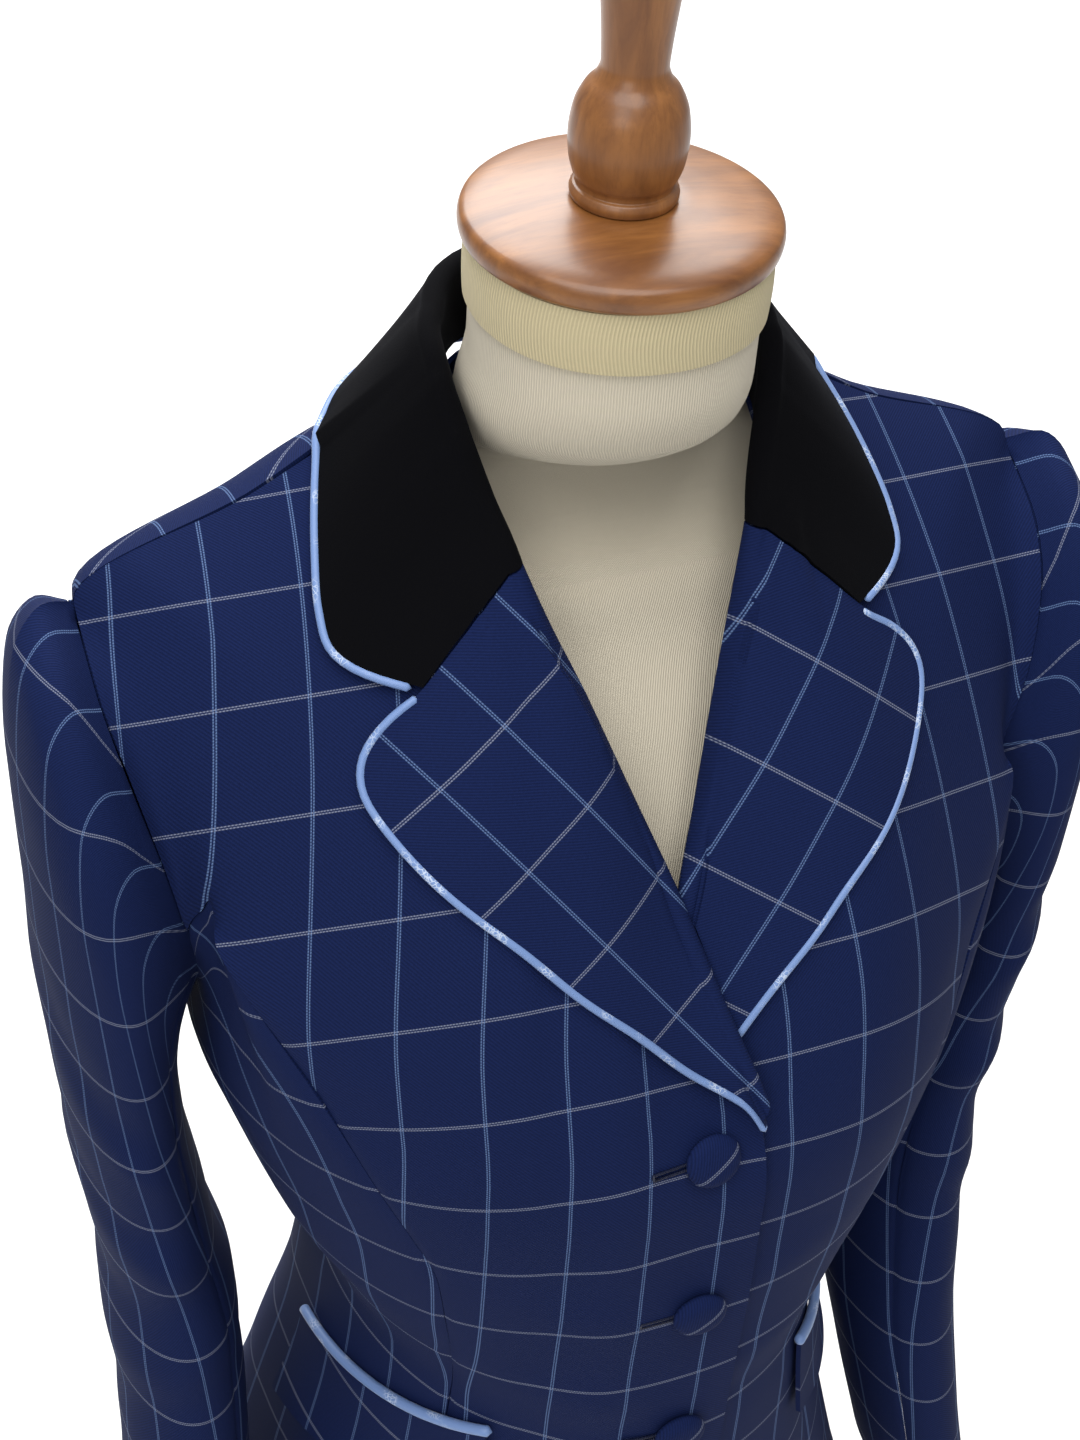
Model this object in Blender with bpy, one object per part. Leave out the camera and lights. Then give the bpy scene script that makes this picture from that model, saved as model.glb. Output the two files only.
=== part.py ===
"""Riding show coat, buttoned on a limbless dress form with a round stand.

Frame: metres, +Z up, origin on the floor under the stand's middle. The coat faces -Y, so the
wearer's right side is at -X. Heights of the coat are given as drops below its shoulder points.
"""
import math

import bpy
import numpy as np
from mathutils import Vector
from mathutils.bvhtree import BVHTree

# Driving dimensions
SHOULDER_Z = 1.360          # height of the coat's shoulder points above the floor
SEAM_GAP = 0.0005           # clear gap between two pieces at a seam
CLOTH = 0.0018              # wall of the wool cloth with its canvas
LEAF = 0.0022               # wall of the doubled lapels, collar and flaps
OVERLAP_LIFT = 0.0042       # how far the right front lies out over the left one
OVERLAP_FADE = (0.028, 0.062)   # distances from the centre line between which that lift ends
MIDDLE_Y = 0.006            # depth of the coat's side line behind the stand's axis
RING_DROP = 0.205           # drop of the last whole ring, just under the arms
HEM_DROP = 0.630
HEM_CORNER = 0.060          # radius of the rounded front corners at the hem
VENT_DROP = 0.430           # drop where the centre back vent begins
VENT_HALF_GAP = 0.006       # half the vent's width at the hem
VENT_POWER = 4              # how closely the vent's opening keeps to the centre back

# Whole rings of the coat, hem to underarm
SECTIONS = (  # drop, half width, front, back
    (0.630, 0.180, 0.150, 0.150),
    (0.545, 0.156, 0.147, 0.128),
    (0.465, 0.135, 0.144, 0.106),
    (0.395, 0.118, 0.1430, 0.091),
    (0.340, 0.1130, 0.1430, 0.086),
    (0.270, 0.140, 0.1430, 0.092),
    (0.205, 0.160, 0.1400, 0.105),
)
ROUNDNESS = 2.25            # superellipse power of the rings
BUST_X = 0.082
BUST_DROP = 0.190
BUST_REACH_X = 0.060
BUST_REACH_Z = 0.080
BUST_HEIGHT = 0.008

# Upper edge of the body on one side, from the lapel's break point round to the nape. x is
# measured towards that side, and lean is the direction in which the cloth reaches the edge.
TOP_EDGE = (  # turn, x, y, drop, lean x, lean y, lean z
    (-6.7, -0.0245, -0.1345, 0.1580, 0.00, 0.20, 0.98),
    (5.0, 0.0050, -0.0860, 0.0865, 0.05, 0.60, 0.80),
    (17.0, 0.0475, -0.0205, -0.0290, 0.10, 0.65, 0.75),
    (22.0, 0.0600, 0.0120, -0.0550, 0.05, 0.80, 0.60),
    (27.0, 0.0640, 0.0440, -0.0620, 0.05, 0.92, 0.35),
    (42.0, 0.1230, 0.0415, -0.0320, 0.10, 0.92, 0.35),
    (57.0, 0.1890, 0.0380, -0.0005, 0.15, 0.90, 0.35),
    (61.0, 0.1885, 0.0080, 0.0155, 0.48, 0.60, 0.60),
    (64.5, 0.1842, -0.0150, 0.0370, 0.60, 0.42, 0.62),
    (70.0, 0.1755, -0.0290, 0.0750, 0.62, 0.32, 0.68),
    (75.0, 0.1700, -0.0305, 0.1020, 0.54, 0.26, 0.78),
    (80.0, 0.1650, -0.0250, 0.1300, 0.36, 0.20, 0.90),
    (86.0, 0.1615, -0.0090, 0.1560, 0.12, 0.08, 0.99),
    (94.0, 0.1600, 0.0150, 0.1690, 0.05, 0.00, 0.99),
    (102.0, 0.1615, 0.0400, 0.1570, 0.05, 0.00, 0.99),
    (109.0, 0.1670, 0.0580, 0.1250, 0.30, -0.30, 0.90),
    (117.0, 0.1765, 0.0690, 0.0780, 0.46, -0.34, 0.80),
    (125.0, 0.1862, 0.0660, 0.0235, 0.46, -0.50, 0.68),
    (130.0, 0.1890, 0.0380, -0.0005, 0.10, -0.95, 0.25),
    (144.0, 0.1230, 0.0415, -0.0320, 0.05, -0.98, 0.10),
    (158.0, 0.0640, 0.0440, -0.0620, -0.05, -0.85, 0.50),
    (169.0, 0.0330, 0.0690, -0.0620, 0.00, -0.25, 0.95),
    (180.0, 0.0000, 0.0770, -0.0610, 0.00, -0.20, 0.97),
)
BACK_TURN = 180.0           # the centre back
GORGE_TURN = 17.0           # where the roll line meets the collar
NECK_TURNS = (27.0, 158.0)  # neck end of the shoulder seam, front and back
SHOULDER_TURNS = (57.0, 130.0)
UPPER_PULL = 0.95           # how strongly the upper cloth keeps its direction at both ends
SHOULDER_SEAM_NORMAL = (0.45, 0.0, 0.89)    # direction out of the coat along the shoulder seam
TRIM_RISE = 0.003           # share of the upper rows left free at the upper edge
SETTLE_RISES = (1.3, 1.6)   # rises between which the cloth beside the armhole settles smooth
SETTLE_TURN = 6.0           # how far this reaches from the shoulder point
SETTLE_ROUNDS = 4
NUDGE_TURN = 0.5            # small steps by which directions on the cloth are measured
NUDGE_RISE = 0.01
NUDGE_DROP = 0.002
TOUCH = 0.005               # turns and rises this close count as the same
CORNER_RISE = 0.3           # rise at which the hem's rounded corner has no more effect
ROWS_LOW = 13               # rows of points below and above the underarm ring
ROWS_HIGH = 9
FRONT_COLUMNS = (4, 1, 4, 2)    # columns of points between the corners of each upper edge
SIDE_COLUMNS = 6
BACK_COLUMNS = (2, 4, 2)

# Seams and the front edge, by rise: 0 at the hem, 1 at the underarm ring, 2 at the upper edge
PRINCESS_SEAM = ((0.0, 44.0), (0.66, 46.0), (0.84, 39.0), (0.93, 38.0), (1.0, 41.0), (2.0, 76.0))
SIDE_BACK_SEAM = ((0.0, 134.0), (0.7, 140.0), (1.0, 128.0), (2.0, 112.0))
FRONT_EDGE_X = ((0.0, -0.006), (0.3, -0.020), (0.5, -0.0245), (1.0, -0.0245))

# Lapel on one side, from the break point to the gorge seam: its fold and its outer edge
LAPEL = (  # turn, crest x, crest y, crest drop, edge x, edge y, edge drop
    (-6.7, -0.0262, -0.1360, 0.1530, -0.0268, -0.1375, 0.1610),
    (-5.0, -0.0235, -0.1300, 0.1440, -0.0225, -0.1350, 0.1540),
    (-2.0, -0.0165, -0.1180, 0.1270, 0.0000, -0.1280, 0.1410),
    (2.0, -0.0065, -0.1010, 0.1030, 0.0290, -0.1085, 0.1195),
    (6.0, 0.0035, -0.0840, 0.0785, 0.0595, -0.0900, 0.0900),
    (9.0, 0.0120, -0.0710, 0.0570, 0.0780, -0.0730, 0.0700),
    (12.0, 0.0220, -0.0550, 0.0300, 0.0930, -0.0520, 0.0540),
    (13.5, 0.0280, -0.0460, 0.0130, 0.0995, -0.0385, 0.0435),
    (14.8, 0.0340, -0.0370, -0.0030, 0.0975, -0.0340, 0.0330),
    (17.0, 0.0434, -0.0227, -0.0310, 0.0786, -0.0339, 0.0090),
)
LEFT_LAPEL_CREST_TURN = 5.2     # where the left lapel passes under the right one
LEFT_LAPEL_EDGE_TURN = 0.2

# Collar on one side, from the gorge seam to the centre back: its fold and its outer edge
COLLAR = (  # along, crest x, crest y, crest drop, edge x, edge y, edge drop
    (0.00, 0.0434, -0.0227, -0.0310, 0.0786, -0.0339, 0.0090),
    (0.07, 0.0455, -0.0165, -0.0400, 0.0930, -0.0190, 0.0110),
    (0.14, 0.0490, -0.0095, -0.0505, 0.1030, -0.0075, 0.0070),
    (0.24, 0.0530, -0.0025, -0.0640, 0.1034, 0.0020, -0.0020),
    (0.36, 0.0565, 0.0045, -0.0770, 0.1012, 0.0140, -0.0145),
    (0.50, 0.0590, 0.0140, -0.0890, 0.0985, 0.0303, -0.0370),
    (0.62, 0.0580, 0.0270, -0.0950, 0.0945, 0.0450, -0.0520),
    (0.75, 0.0500, 0.0460, -0.0980, 0.0790, 0.0680, -0.0560),
    (0.88, 0.0290, 0.0640, -0.0990, 0.0430, 0.0900, -0.0520),
    (1.00, 0.0000, 0.0700, -0.0990, 0.0000, 0.0985, -0.0490),
)
NECKLINE_TURN = ((0.0, 17.0), (0.5, 22.0), (0.68, 27.0), (0.68, 158.0), (1.0, 180.0))

# Sleeve rings on one side, armhole to cuff
SLEEVE = (  # along, outer x, outer drop, inner x, inner drop, front y, back y
    (0.00, 0.1890, -0.0005, 0.1600, 0.169, -0.0300, 0.070),
    (0.04, 0.2005, -0.0015, 0.1645, 0.178, -0.0385, 0.076),
    (0.10, 0.2130, 0.013, 0.1680, 0.191, -0.0460, 0.081),
    (0.18, 0.2195, 0.058, 0.1695, 0.206, -0.0490, 0.082),
    (0.28, 0.2195, 0.130, 0.1680, 0.236, -0.0490, 0.080),
    (0.42, 0.2165, 0.222, 0.1600, 0.292, -0.0480, 0.072),
    (0.58, 0.2090, 0.330, 0.1500, 0.368, -0.0540, 0.058),
    (0.74, 0.2080, 0.435, 0.1530, 0.450, -0.0700, 0.036),
    (0.88, 0.2170, 0.525, 0.1660, 0.530, -0.0860, 0.014),
    (1.00, 0.2290, 0.595, 0.1810, 0.597, -0.0960, 0.000),
)
ARMHOLE_TURN = ((0.0, 57.0), (90.0, 74.0), (180.0, 94.0), (270.0, 116.0), (360.0, 130.0))
SLEEVE_SEAMS = (125.0, 250.0)   # front and back sleeve seams, degrees round from the outer side
ARMHOLE_GAP = 0.0008            # clear gap between the body's armhole and the sleeve
ARMHOLE_FADE = 0.30             # along the sleeve, where the armhole's own outline fades out
SLEEVE_ROWS = 18
TOP_SLEEVE_COLUMNS = 11
UNDER_SLEEVE_COLUMNS = 6
RING_CHECKS = 12                # points that give the middle of a sleeve's ring
SEAM_ANGLE = 0.35               # degrees left free at each side of a sleeve seam

# Fold of a lapel or collar: radius of its outer face, and how it lies on the cloth below
FOLD = 0.0046
FOLD_LEAST = 0.0026         # the same where the leaf runs out to nothing
FOLD_SHARE = 0.3            # share of the leaf's width that the fold takes there
FOLD_STEPS = 4              # steps of points round the fold, up the stand and down the fall
STAND_STEPS = 2
FALL_STEPS = 4
LAPEL_ROWS = 14
COLLAR_ROWS = 13            # rows from the gorge seam to the centre back
LEAF_CLEAR = 0.0018         # air between a lapel's or flap's underside and the cloth below it
COLLAR_CLEAR = 0.0026       # the same under the collar, which bridges the shoulder seam
ROOT_GAP = 0.0016           # clear gap between a leaf and the edge it is sewn to
GORGE_GAP = 0.0014          # the same between the collar and the lapel at the gorge seam
UPWARD = 0.12               # upward share of the direction away from the body's axis
LEAF_ROLL = 0.0030          # extra height that the fold still has beside its crest
PIPE_RADIUS = 0.0016        # piping on the collar and lapels
PIPE_PROUD = 0.0004         # how far the piping's middle lies above the leaf's middle
SHARPEST_BEND = 0.5         # cosine of half the sharpest turn that the piping's line follows fully
POCKET_PIPE_RADIUS = 0.0024

# Flap pockets on one side: corners of the upper edge, by turn and drop
POCKET_FRONT = (36.0, 0.352)
POCKET_SIDE = (86.0, 0.394)
FLAP_DEPTH = 0.052
FLAP_STAND_OFF = 0.0030     # how far the flap's lower edge stands out
FLAP_COLUMNS = 8
FLAP_ROWS = 3

# Covered buttons, all on the centre front
BUTTON_DROPS = (0.1740, 0.2585, 0.3430)
BUTTON_X = 0.0020
BUTTON_PROFILE = (  # radius, height
    (0.0000, 0.0004),
    (0.0090, 0.0004),
    (0.0108, 0.0012),
    (0.0113, 0.0026),
    (0.0100, 0.0047),
    (0.0070, 0.0062),
    (0.0030, 0.0068),
    (0.0000, 0.0069),
)

# Dress form inside the coat, from its lower end to the top of its neck
FORM = (  # drop, half width, front y, back y, side y
    (0.570, 0.140, -0.118, 0.110, 0.004),
    (0.465, 0.120, -0.119, 0.092, 0.004),
    (0.395, 0.104, -0.114, 0.078, 0.004),
    (0.340, 0.099, -0.112, 0.074, 0.004),
    (0.270, 0.124, -0.122, 0.080, 0.004),
    (0.205, 0.144, -0.126, 0.092, 0.006),
    (0.150, 0.147, -0.106, 0.097, 0.014),
    (0.100, 0.147, -0.076, 0.098, 0.022),
    (0.050, 0.151, -0.042, 0.090, 0.032),
    (0.018, 0.156, -0.018, 0.076, 0.038),
    (0.000, 0.156, -0.008, 0.068, 0.040),
    (-0.0180, 0.1390, 0.010, 0.064, 0.0400),
    (-0.0350, 0.1010, 0.014, 0.060, 0.0410),
    (-0.0450, 0.0730, 0.012, 0.060, 0.0410),
    (-0.0530, 0.0565, 0.002, 0.0595, 0.0380),
    (-0.0620, 0.0515, -0.018, 0.0595, 0.0300),
    (-0.076, 0.0525, -0.032, 0.0600, 0.020),
    (-0.095, 0.0500, -0.0376, 0.0620, 0.0124),
    (-0.1350, 0.0500, -0.0376, 0.0624, 0.0124),
)
FORM_ROUNDNESS = 2.1
FORM_SIDES = 28
FORM_STEP = 0.04            # rings further apart than this get one between them
NECK_Y = 0.0124             # the neck's axis
BAND_DROPS = (-0.1120, -0.1348)
BAND_WALL = 0.0018
CAP_BASE_DROP = -0.1353
CAP_PROFILE = (  # radius, height above the cap's base
    (0.0000, 0.0000),
    (0.0528, 0.0000),
    (0.0548, 0.0018),
    (0.0553, 0.0050),
    (0.0546, 0.0080),
    (0.0525, 0.0096),
    (0.0420, 0.0118),
    (0.0280, 0.0134),
    (0.0185, 0.0140),
    (0.0000, 0.0140),
)
FINIAL_PROFILE = (  # radius, height above the cap
    (0.0000, 0.0000),
    (0.0178, 0.0000),
    (0.0186, 0.0022),
    (0.0178, 0.0044),
    (0.0166, 0.0052),
    (0.0166, 0.0062),
    (0.0180, 0.0090),
    (0.0196, 0.0150),
    (0.0202, 0.0225),
    (0.0192, 0.0310),
    (0.0160, 0.0385),
    (0.0124, 0.0430),
    (0.0112, 0.0470),
    (0.0115, 0.0530),
    (0.0128, 0.0680),
    (0.0146, 0.0860),
    (0.0158, 0.1030),
    (0.0158, 0.1130),
    (0.0140, 0.1220),
    (0.0090, 0.1275),
    (0.0000, 0.1295),
)
POLE_RADIUS = 0.0160
ROUND_SIDES = 36            # sides of the wide and of the slim turned pieces
SLIM_SIDES = 18
BASE_PROFILE = (  # radius, height above the floor
    (0.0000, 0.0000),
    (0.1900, 0.0000),
    (0.1950, 0.0040),
    (0.1950, 0.0160),
    (0.1880, 0.0230),
    (0.1750, 0.0260),
    (0.0600, 0.0330),
    (0.0400, 0.0420),
    (0.0300, 0.0560),
    (0.0000, 0.0560),
)

SHARP_ANGLE = math.radians(50)  # edges sharper than this stay sharp

# Colours of the finishes
NAVY = (0.012, 0.022, 0.115, 1.0)
VELVET_BLACK = (0.002, 0.002, 0.003, 1.0)
PIPING_BLUE = (0.235, 0.365, 0.690, 1.0)
JERSEY_CREAM = (0.765, 0.665, 0.423, 1.0)
WOOD_BROWN = (0.370, 0.133, 0.028, 1.0)


def slopes(keys, values):
    """Slopes of a smooth curve through the keys that never swings past them."""
    step = np.diff(keys)
    rate = np.diff(values) / step
    result = np.zeros(len(keys))
    result[0] = rate[0]
    result[-1] = rate[-1]
    for i in range(1, len(keys) - 1):
        if rate[i - 1] * rate[i] > 0:
            before = 2 * step[i] + step[i - 1]
            after = step[i] + 2 * step[i - 1]
            result[i] = (before + after) / (before / rate[i - 1] + after / rate[i])
    return result


def through(table, column, at):
    """One column of a table, read smoothly at the given values of its first column."""
    rows = np.array(table, float)
    rows = rows[np.argsort(rows[:, 0])]
    keys = rows[:, 0]
    values = rows[:, column]
    slope = slopes(keys, values)
    at = np.clip(np.asarray(at, float), keys[0], keys[-1])
    i = np.clip(np.searchsorted(keys, at, side="right") - 1, 0, len(keys) - 2)
    step = keys[i + 1] - keys[i]
    t = (at - keys[i]) / step
    start = (1 + 2 * t) * (1 - t) ** 2 * values[i] + t * (1 - t) ** 2 * step * slope[i]
    end = t * t * (3 - 2 * t) * values[i + 1] + t * t * (t - 1) * step * slope[i + 1]
    return start + end


def smoothstep(low, high, at):
    t = np.clip((np.asarray(at, float) - low) / (high - low), 0.0, 1.0)
    return t * t * (3 - 2 * t)


def unit(vectors):
    return vectors / np.linalg.norm(vectors, axis=-1, keepdims=True)


def signed_power(base, power):
    return np.sign(base) * np.abs(base) ** power


def ring_point(turn, drop):
    """Points of the coat's whole rings, turn degrees round from the centre front."""
    turn = np.radians(turn)
    half = through(SECTIONS, 1, drop)
    depth = np.where(np.cos(turn) > 0, through(SECTIONS, 2, drop), through(SECTIONS, 3, drop))
    x = half * signed_power(np.sin(turn), 2 / ROUNDNESS)
    y = MIDDLE_Y - (depth + np.sign(np.cos(turn)) * MIDDLE_Y) * signed_power(np.cos(turn), 2 / ROUNDNESS)
    across = ((np.abs(x) - BUST_X) / BUST_REACH_X) ** 2
    along = ((drop - BUST_DROP) / BUST_REACH_Z) ** 2
    y = y - np.where(np.cos(turn) > 0, BUST_HEIGHT * np.exp(-across - along), 0.0)
    return np.stack([x, y, SHOULDER_Z - drop], axis=-1)


def top_point(turn):
    point = [through(TOP_EDGE, column, turn) for column in (1, 2, 3)]
    return np.stack([point[0], point[1], SHOULDER_Z - point[2]], axis=-1)


def body_point(turn, rise):
    """The coat's body on the +X side. Rise is 0 at the hem, 1 under the arm, 2 at the upper edge."""
    turn, rise = np.broadcast_arrays(np.asarray(turn, float), np.asarray(rise, float))
    drop = HEM_DROP + (RING_DROP - HEM_DROP) * np.minimum(rise, 1.0)
    low = ring_point(turn, drop)
    start = ring_point(turn, np.full(turn.shape, RING_DROP))
    below = ring_point(turn, np.full(turn.shape, RING_DROP + NUDGE_DROP))
    end = top_point(turn)
    span = np.linalg.norm(end - start, axis=-1, keepdims=True) * UPPER_PULL
    lean = np.stack([through(TOP_EDGE, column, turn) for column in (4, 5, 6)], axis=-1)
    first = unit(start - below) * span
    last = unit(lean) * span
    t = np.clip(rise - 1.0, 0.0, 1.0)[..., None]
    high = ((1 + 2 * t) * (1 - t) ** 2 * start + t * (1 - t) ** 2 * first
            + t * t * (3 - 2 * t) * end + t * t * (t - 1) * last)
    return np.where((rise > 1.0)[..., None], high, low)


def grid_normals(grid):
    return unit(np.cross(np.gradient(grid, axis=1), np.gradient(grid, axis=0)))


def body_normal(turn, rise):
    """Direction out of the body on the +X side, the same on both sides of every seam."""
    turn, rise = np.broadcast_arrays(np.asarray(turn, float), np.asarray(rise, float))
    across = body_point(turn + NUDGE_TURN, rise) - body_point(turn - NUDGE_TURN, rise)
    up = body_point(turn, rise + NUDGE_RISE) - body_point(turn, rise - NUDGE_RISE)
    normal = np.cross(across, up)
    normal[..., 0] = np.where(turn > BACK_TURN - TOUCH, 0.0, normal[..., 0])
    front, back = zip(NECK_TURNS, SHOULDER_TURNS)
    on_front = (turn >= front[0] - TOUCH) & (turn <= front[1] + TOUCH)
    on_back = (turn >= back[1] - TOUCH) & (turn <= back[0] + TOUCH)
    seam = (on_front | on_back) & (rise > 2.0 - TRIM_RISE - TOUCH)
    normal = np.where(seam[..., None], np.array(SHOULDER_SEAM_NORMAL), normal)
    return unit(normal)


def on_side(grid, side):
    """A grid made for the +X side, taken to the given side."""
    return grid * np.array([side, 1.0, 1.0])


def edge_turn(rise):
    """Turn of the front edge, which runs past the centre line."""
    drop = HEM_DROP + (RING_DROP - HEM_DROP) * np.minimum(rise, 1.0)
    share = through(FRONT_EDGE_X, 1, np.minimum(rise, 1.0)) / through(SECTIONS, 1, drop)
    return np.degrees(np.arcsin(signed_power(share, ROUNDNESS / 2)))


def rises():
    low = np.linspace(0.0, 1.0, ROWS_LOW + 1)
    high = np.linspace(1.0, 2.0 - TRIM_RISE, ROWS_HIGH + 1)
    return np.concatenate([low, high[1:]])


def shares(first, last, corners, counts):
    """Shares across a panel that put a column on each corner of its upper edge."""
    marks = [first, *corners, last]
    parts = [np.linspace(a, b, n + 1)[:-1] for a, b, n in zip(marks, marks[1:], counts)]
    return (np.concatenate([*parts, [last]]) - first) / (last - first)


def across_seam(grid, edge, beside):
    """Directions from an edge column into the panel, square to the edge."""
    along = unit(np.gradient(grid[:, edge], axis=0))
    inward = grid[:, beside] - grid[:, edge]
    return unit(inward - along * np.sum(inward * along, axis=-1, keepdims=True))


def panel_grid(left, right, share):
    """Outer points and directions of a panel between two lines given as turns by row."""
    rise = np.broadcast_to(rises()[:, None], (ROWS_LOW + ROWS_HIGH + 1, len(share)))
    turn = left[:, None] + (right - left)[:, None] * share[None, :]
    grid = body_point(turn, rise)
    normal = body_normal(turn, rise)
    into = [across_seam(grid, 0, 1), across_seam(grid, -1, -2)]
    grid[:, 0] += into[0] * SEAM_GAP / 2
    grid[:, -1] += into[1] * SEAM_GAP / 2
    return grid, normal


def settled(grid, normal, near):
    """A panel drawn smooth beside the armhole, where near is 1, between its own edges."""
    hold = (smoothstep(*SETTLE_RISES, rises())[:, None] * near[None, :])[..., None]
    inner = hold[1:-1, 1:-1]
    grid = grid.copy()
    for _ in range(SETTLE_ROUNDS):
        middle = (grid[:-2, 1:-1] + grid[2:, 1:-1] + grid[1:-1, :-2] + grid[1:-1, 2:]) / 4
        grid[1:-1, 1:-1] += inner * (middle - grid[1:-1, 1:-1])
    turned = normal * (1.0 - hold) + grid_normals(grid) * hold
    turned[:, [0, -1]] = normal[:, [0, -1]]
    turned[-1] = normal[-1]
    return grid, unit(turned)


def overlap_lift(side, x):
    """How far the right front lies out near the centre line, x being measured to its own side."""
    return OVERLAP_LIFT * (1.0 - smoothstep(*OVERLAP_FADE, x)) if side < 0 else np.zeros_like(x)


def front_panel(side):
    rise = rises()
    left = edge_turn(rise)
    right = through(PRINCESS_SEAM, 1, rise)
    corners = (GORGE_TURN, NECK_TURNS[0], SHOULDER_TURNS[0])
    share = shares(left[-1], right[-1], corners, FRONT_COLUMNS)
    grid, normal = panel_grid(left, right, share)
    turn = left[-1] + (right[-1] - left[-1]) * share
    near = smoothstep(SHOULDER_TURNS[0] - SETTLE_TURN, SHOULDER_TURNS[0], turn)
    grid, normal = settled(grid, normal, near)
    across = np.abs(grid[0] - grid[0, 0]).max(axis=1)
    corner = np.clip(1.0 - across / HEM_CORNER, 0.0, 1.0)
    raised = HEM_CORNER * (1.0 - np.sqrt(1.0 - corner ** 2))
    fade = np.clip(1.0 - rise / CORNER_RISE, 0.0, 1.0)[:, None]
    grid[:, :, 2] += raised[None, :] * fade
    grid += normal * overlap_lift(side, grid[:, :, 0])[:, :, None]
    return on_side(grid, side), on_side(normal, side)


def side_panel(side):
    rise = rises()
    left = through(PRINCESS_SEAM, 1, rise)
    right = through(SIDE_BACK_SEAM, 1, rise)
    grid, normal = panel_grid(left, right, np.linspace(0.0, 1.0, SIDE_COLUMNS + 1))
    return on_side(grid, side), on_side(normal, side)


def back_panel(side):
    rise = rises()
    left = through(SIDE_BACK_SEAM, 1, rise)
    right = np.full(len(rise), BACK_TURN)
    share = shares(left[-1], BACK_TURN, (SHOULDER_TURNS[1], NECK_TURNS[1]), BACK_COLUMNS)
    grid, normal = panel_grid(left, right, share)
    turn = left[-1] + (BACK_TURN - left[-1]) * share
    near = 1.0 - smoothstep(SHOULDER_TURNS[1], SHOULDER_TURNS[1] + SETTLE_TURN, turn)
    grid, normal = settled(grid, normal, near)
    vent_rise = (HEM_DROP - VENT_DROP) / (HEM_DROP - RING_DROP)
    open_by = VENT_HALF_GAP * np.clip(1.0 - rise / vent_rise, 0.0, 1.0)
    grid[:, :, 0] += open_by[:, None] * share[None, :] ** VENT_POWER
    return on_side(grid, side), on_side(normal, side)


def edge_point(side, turn):
    """The body's upper edge on one side, where a leaf is sewn on, and how far it is lifted there."""
    turn = np.array(float(turn))
    point = top_point(turn)
    normal = body_normal(turn, np.array(2.0 - TRIM_RISE))
    lift = normal * overlap_lift(side, point[..., 0])[..., None]
    return on_side(point + lift, side), on_side(lift, side)


def sleeve_ring(around, along):
    """Points of a sleeve on the +X side, degrees round from its outer side."""
    around, along = np.broadcast_arrays(np.asarray(around, float), np.asarray(along, float))
    read = [through(SLEEVE, column, along) for column in range(1, 7)]
    outer_x, outer_drop, inner_x, inner_drop, front_y, back_y = read
    middle_y = (front_y + back_y) / 2
    outer = np.stack([outer_x, middle_y, SHOULDER_Z - outer_drop], axis=-1)
    inner = np.stack([inner_x, middle_y, SHOULDER_Z - inner_drop], axis=-1)
    middle = (outer + inner) / 2
    half = np.stack([np.zeros_like(front_y), (front_y - back_y) / 2, np.zeros_like(front_y)], axis=-1)
    angle = np.radians(around)[..., None]
    return middle + (outer - inner) / 2 * np.cos(angle) + half * np.sin(angle)


def sleeve_point(around, along):
    around, along = np.broadcast_arrays(np.asarray(around, float), np.asarray(along, float))
    turn = np.interp(np.mod(around, 360.0), *np.array(ARMHOLE_TURN).T)
    armhole = top_point(turn) + np.array([ARMHOLE_GAP, 0.0, 0.0])
    fade = np.clip(1.0 - along / ARMHOLE_FADE, 0.0, 1.0)[..., None] ** 2
    return sleeve_ring(around, along) + (armhole - sleeve_ring(around, np.zeros_like(along))) * fade


def sleeve_spoke(around, along):
    """Directions out of a sleeve, from the middle of each of its rings."""
    ring = [sleeve_point(turn, along) for turn in np.linspace(0.0, 360.0, RING_CHECKS, endpoint=False)]
    return unit(sleeve_point(around, along) - np.mean(ring, axis=0))


def cloth_below(*sides):
    """Search tree of the coat's own body on the given sides, for what lies on it."""
    points = []
    faces = []
    panels = [panel(side) for side in sides for panel in (front_panel, side_panel, back_panel)]
    for grid, _ in panels:
        rows, columns = grid.shape[:2]
        first = len(points)
        points.extend(Vector(p) for p in grid.reshape(-1, 3))
        for i in range(rows - 1):
            for j in range(columns - 1):
                corner = first + i * columns + j
                faces.append((corner, corner + 1, corner + columns + 1, corner + columns))
    return BVHTree.FromPolygons(points, faces)


def outward(tree, point):
    """Nearest point of the cloth, and its direction away from the body's axis."""
    spot, normal, _, _ = tree.find_nearest(Vector(point))
    away = Vector((spot.x, spot.y - NECK_Y, UPWARD))
    if normal.dot(away) < 0:
        normal = -normal
    return np.array(spot), np.array(normal)


def lifted(tree, point, height):
    """The point, moved out until it lies at least this high over the cloth."""
    spot, normal = outward(tree, point)
    short = height - float(np.dot(point - spot, normal))
    return point + normal * max(short, 0.0)


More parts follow.
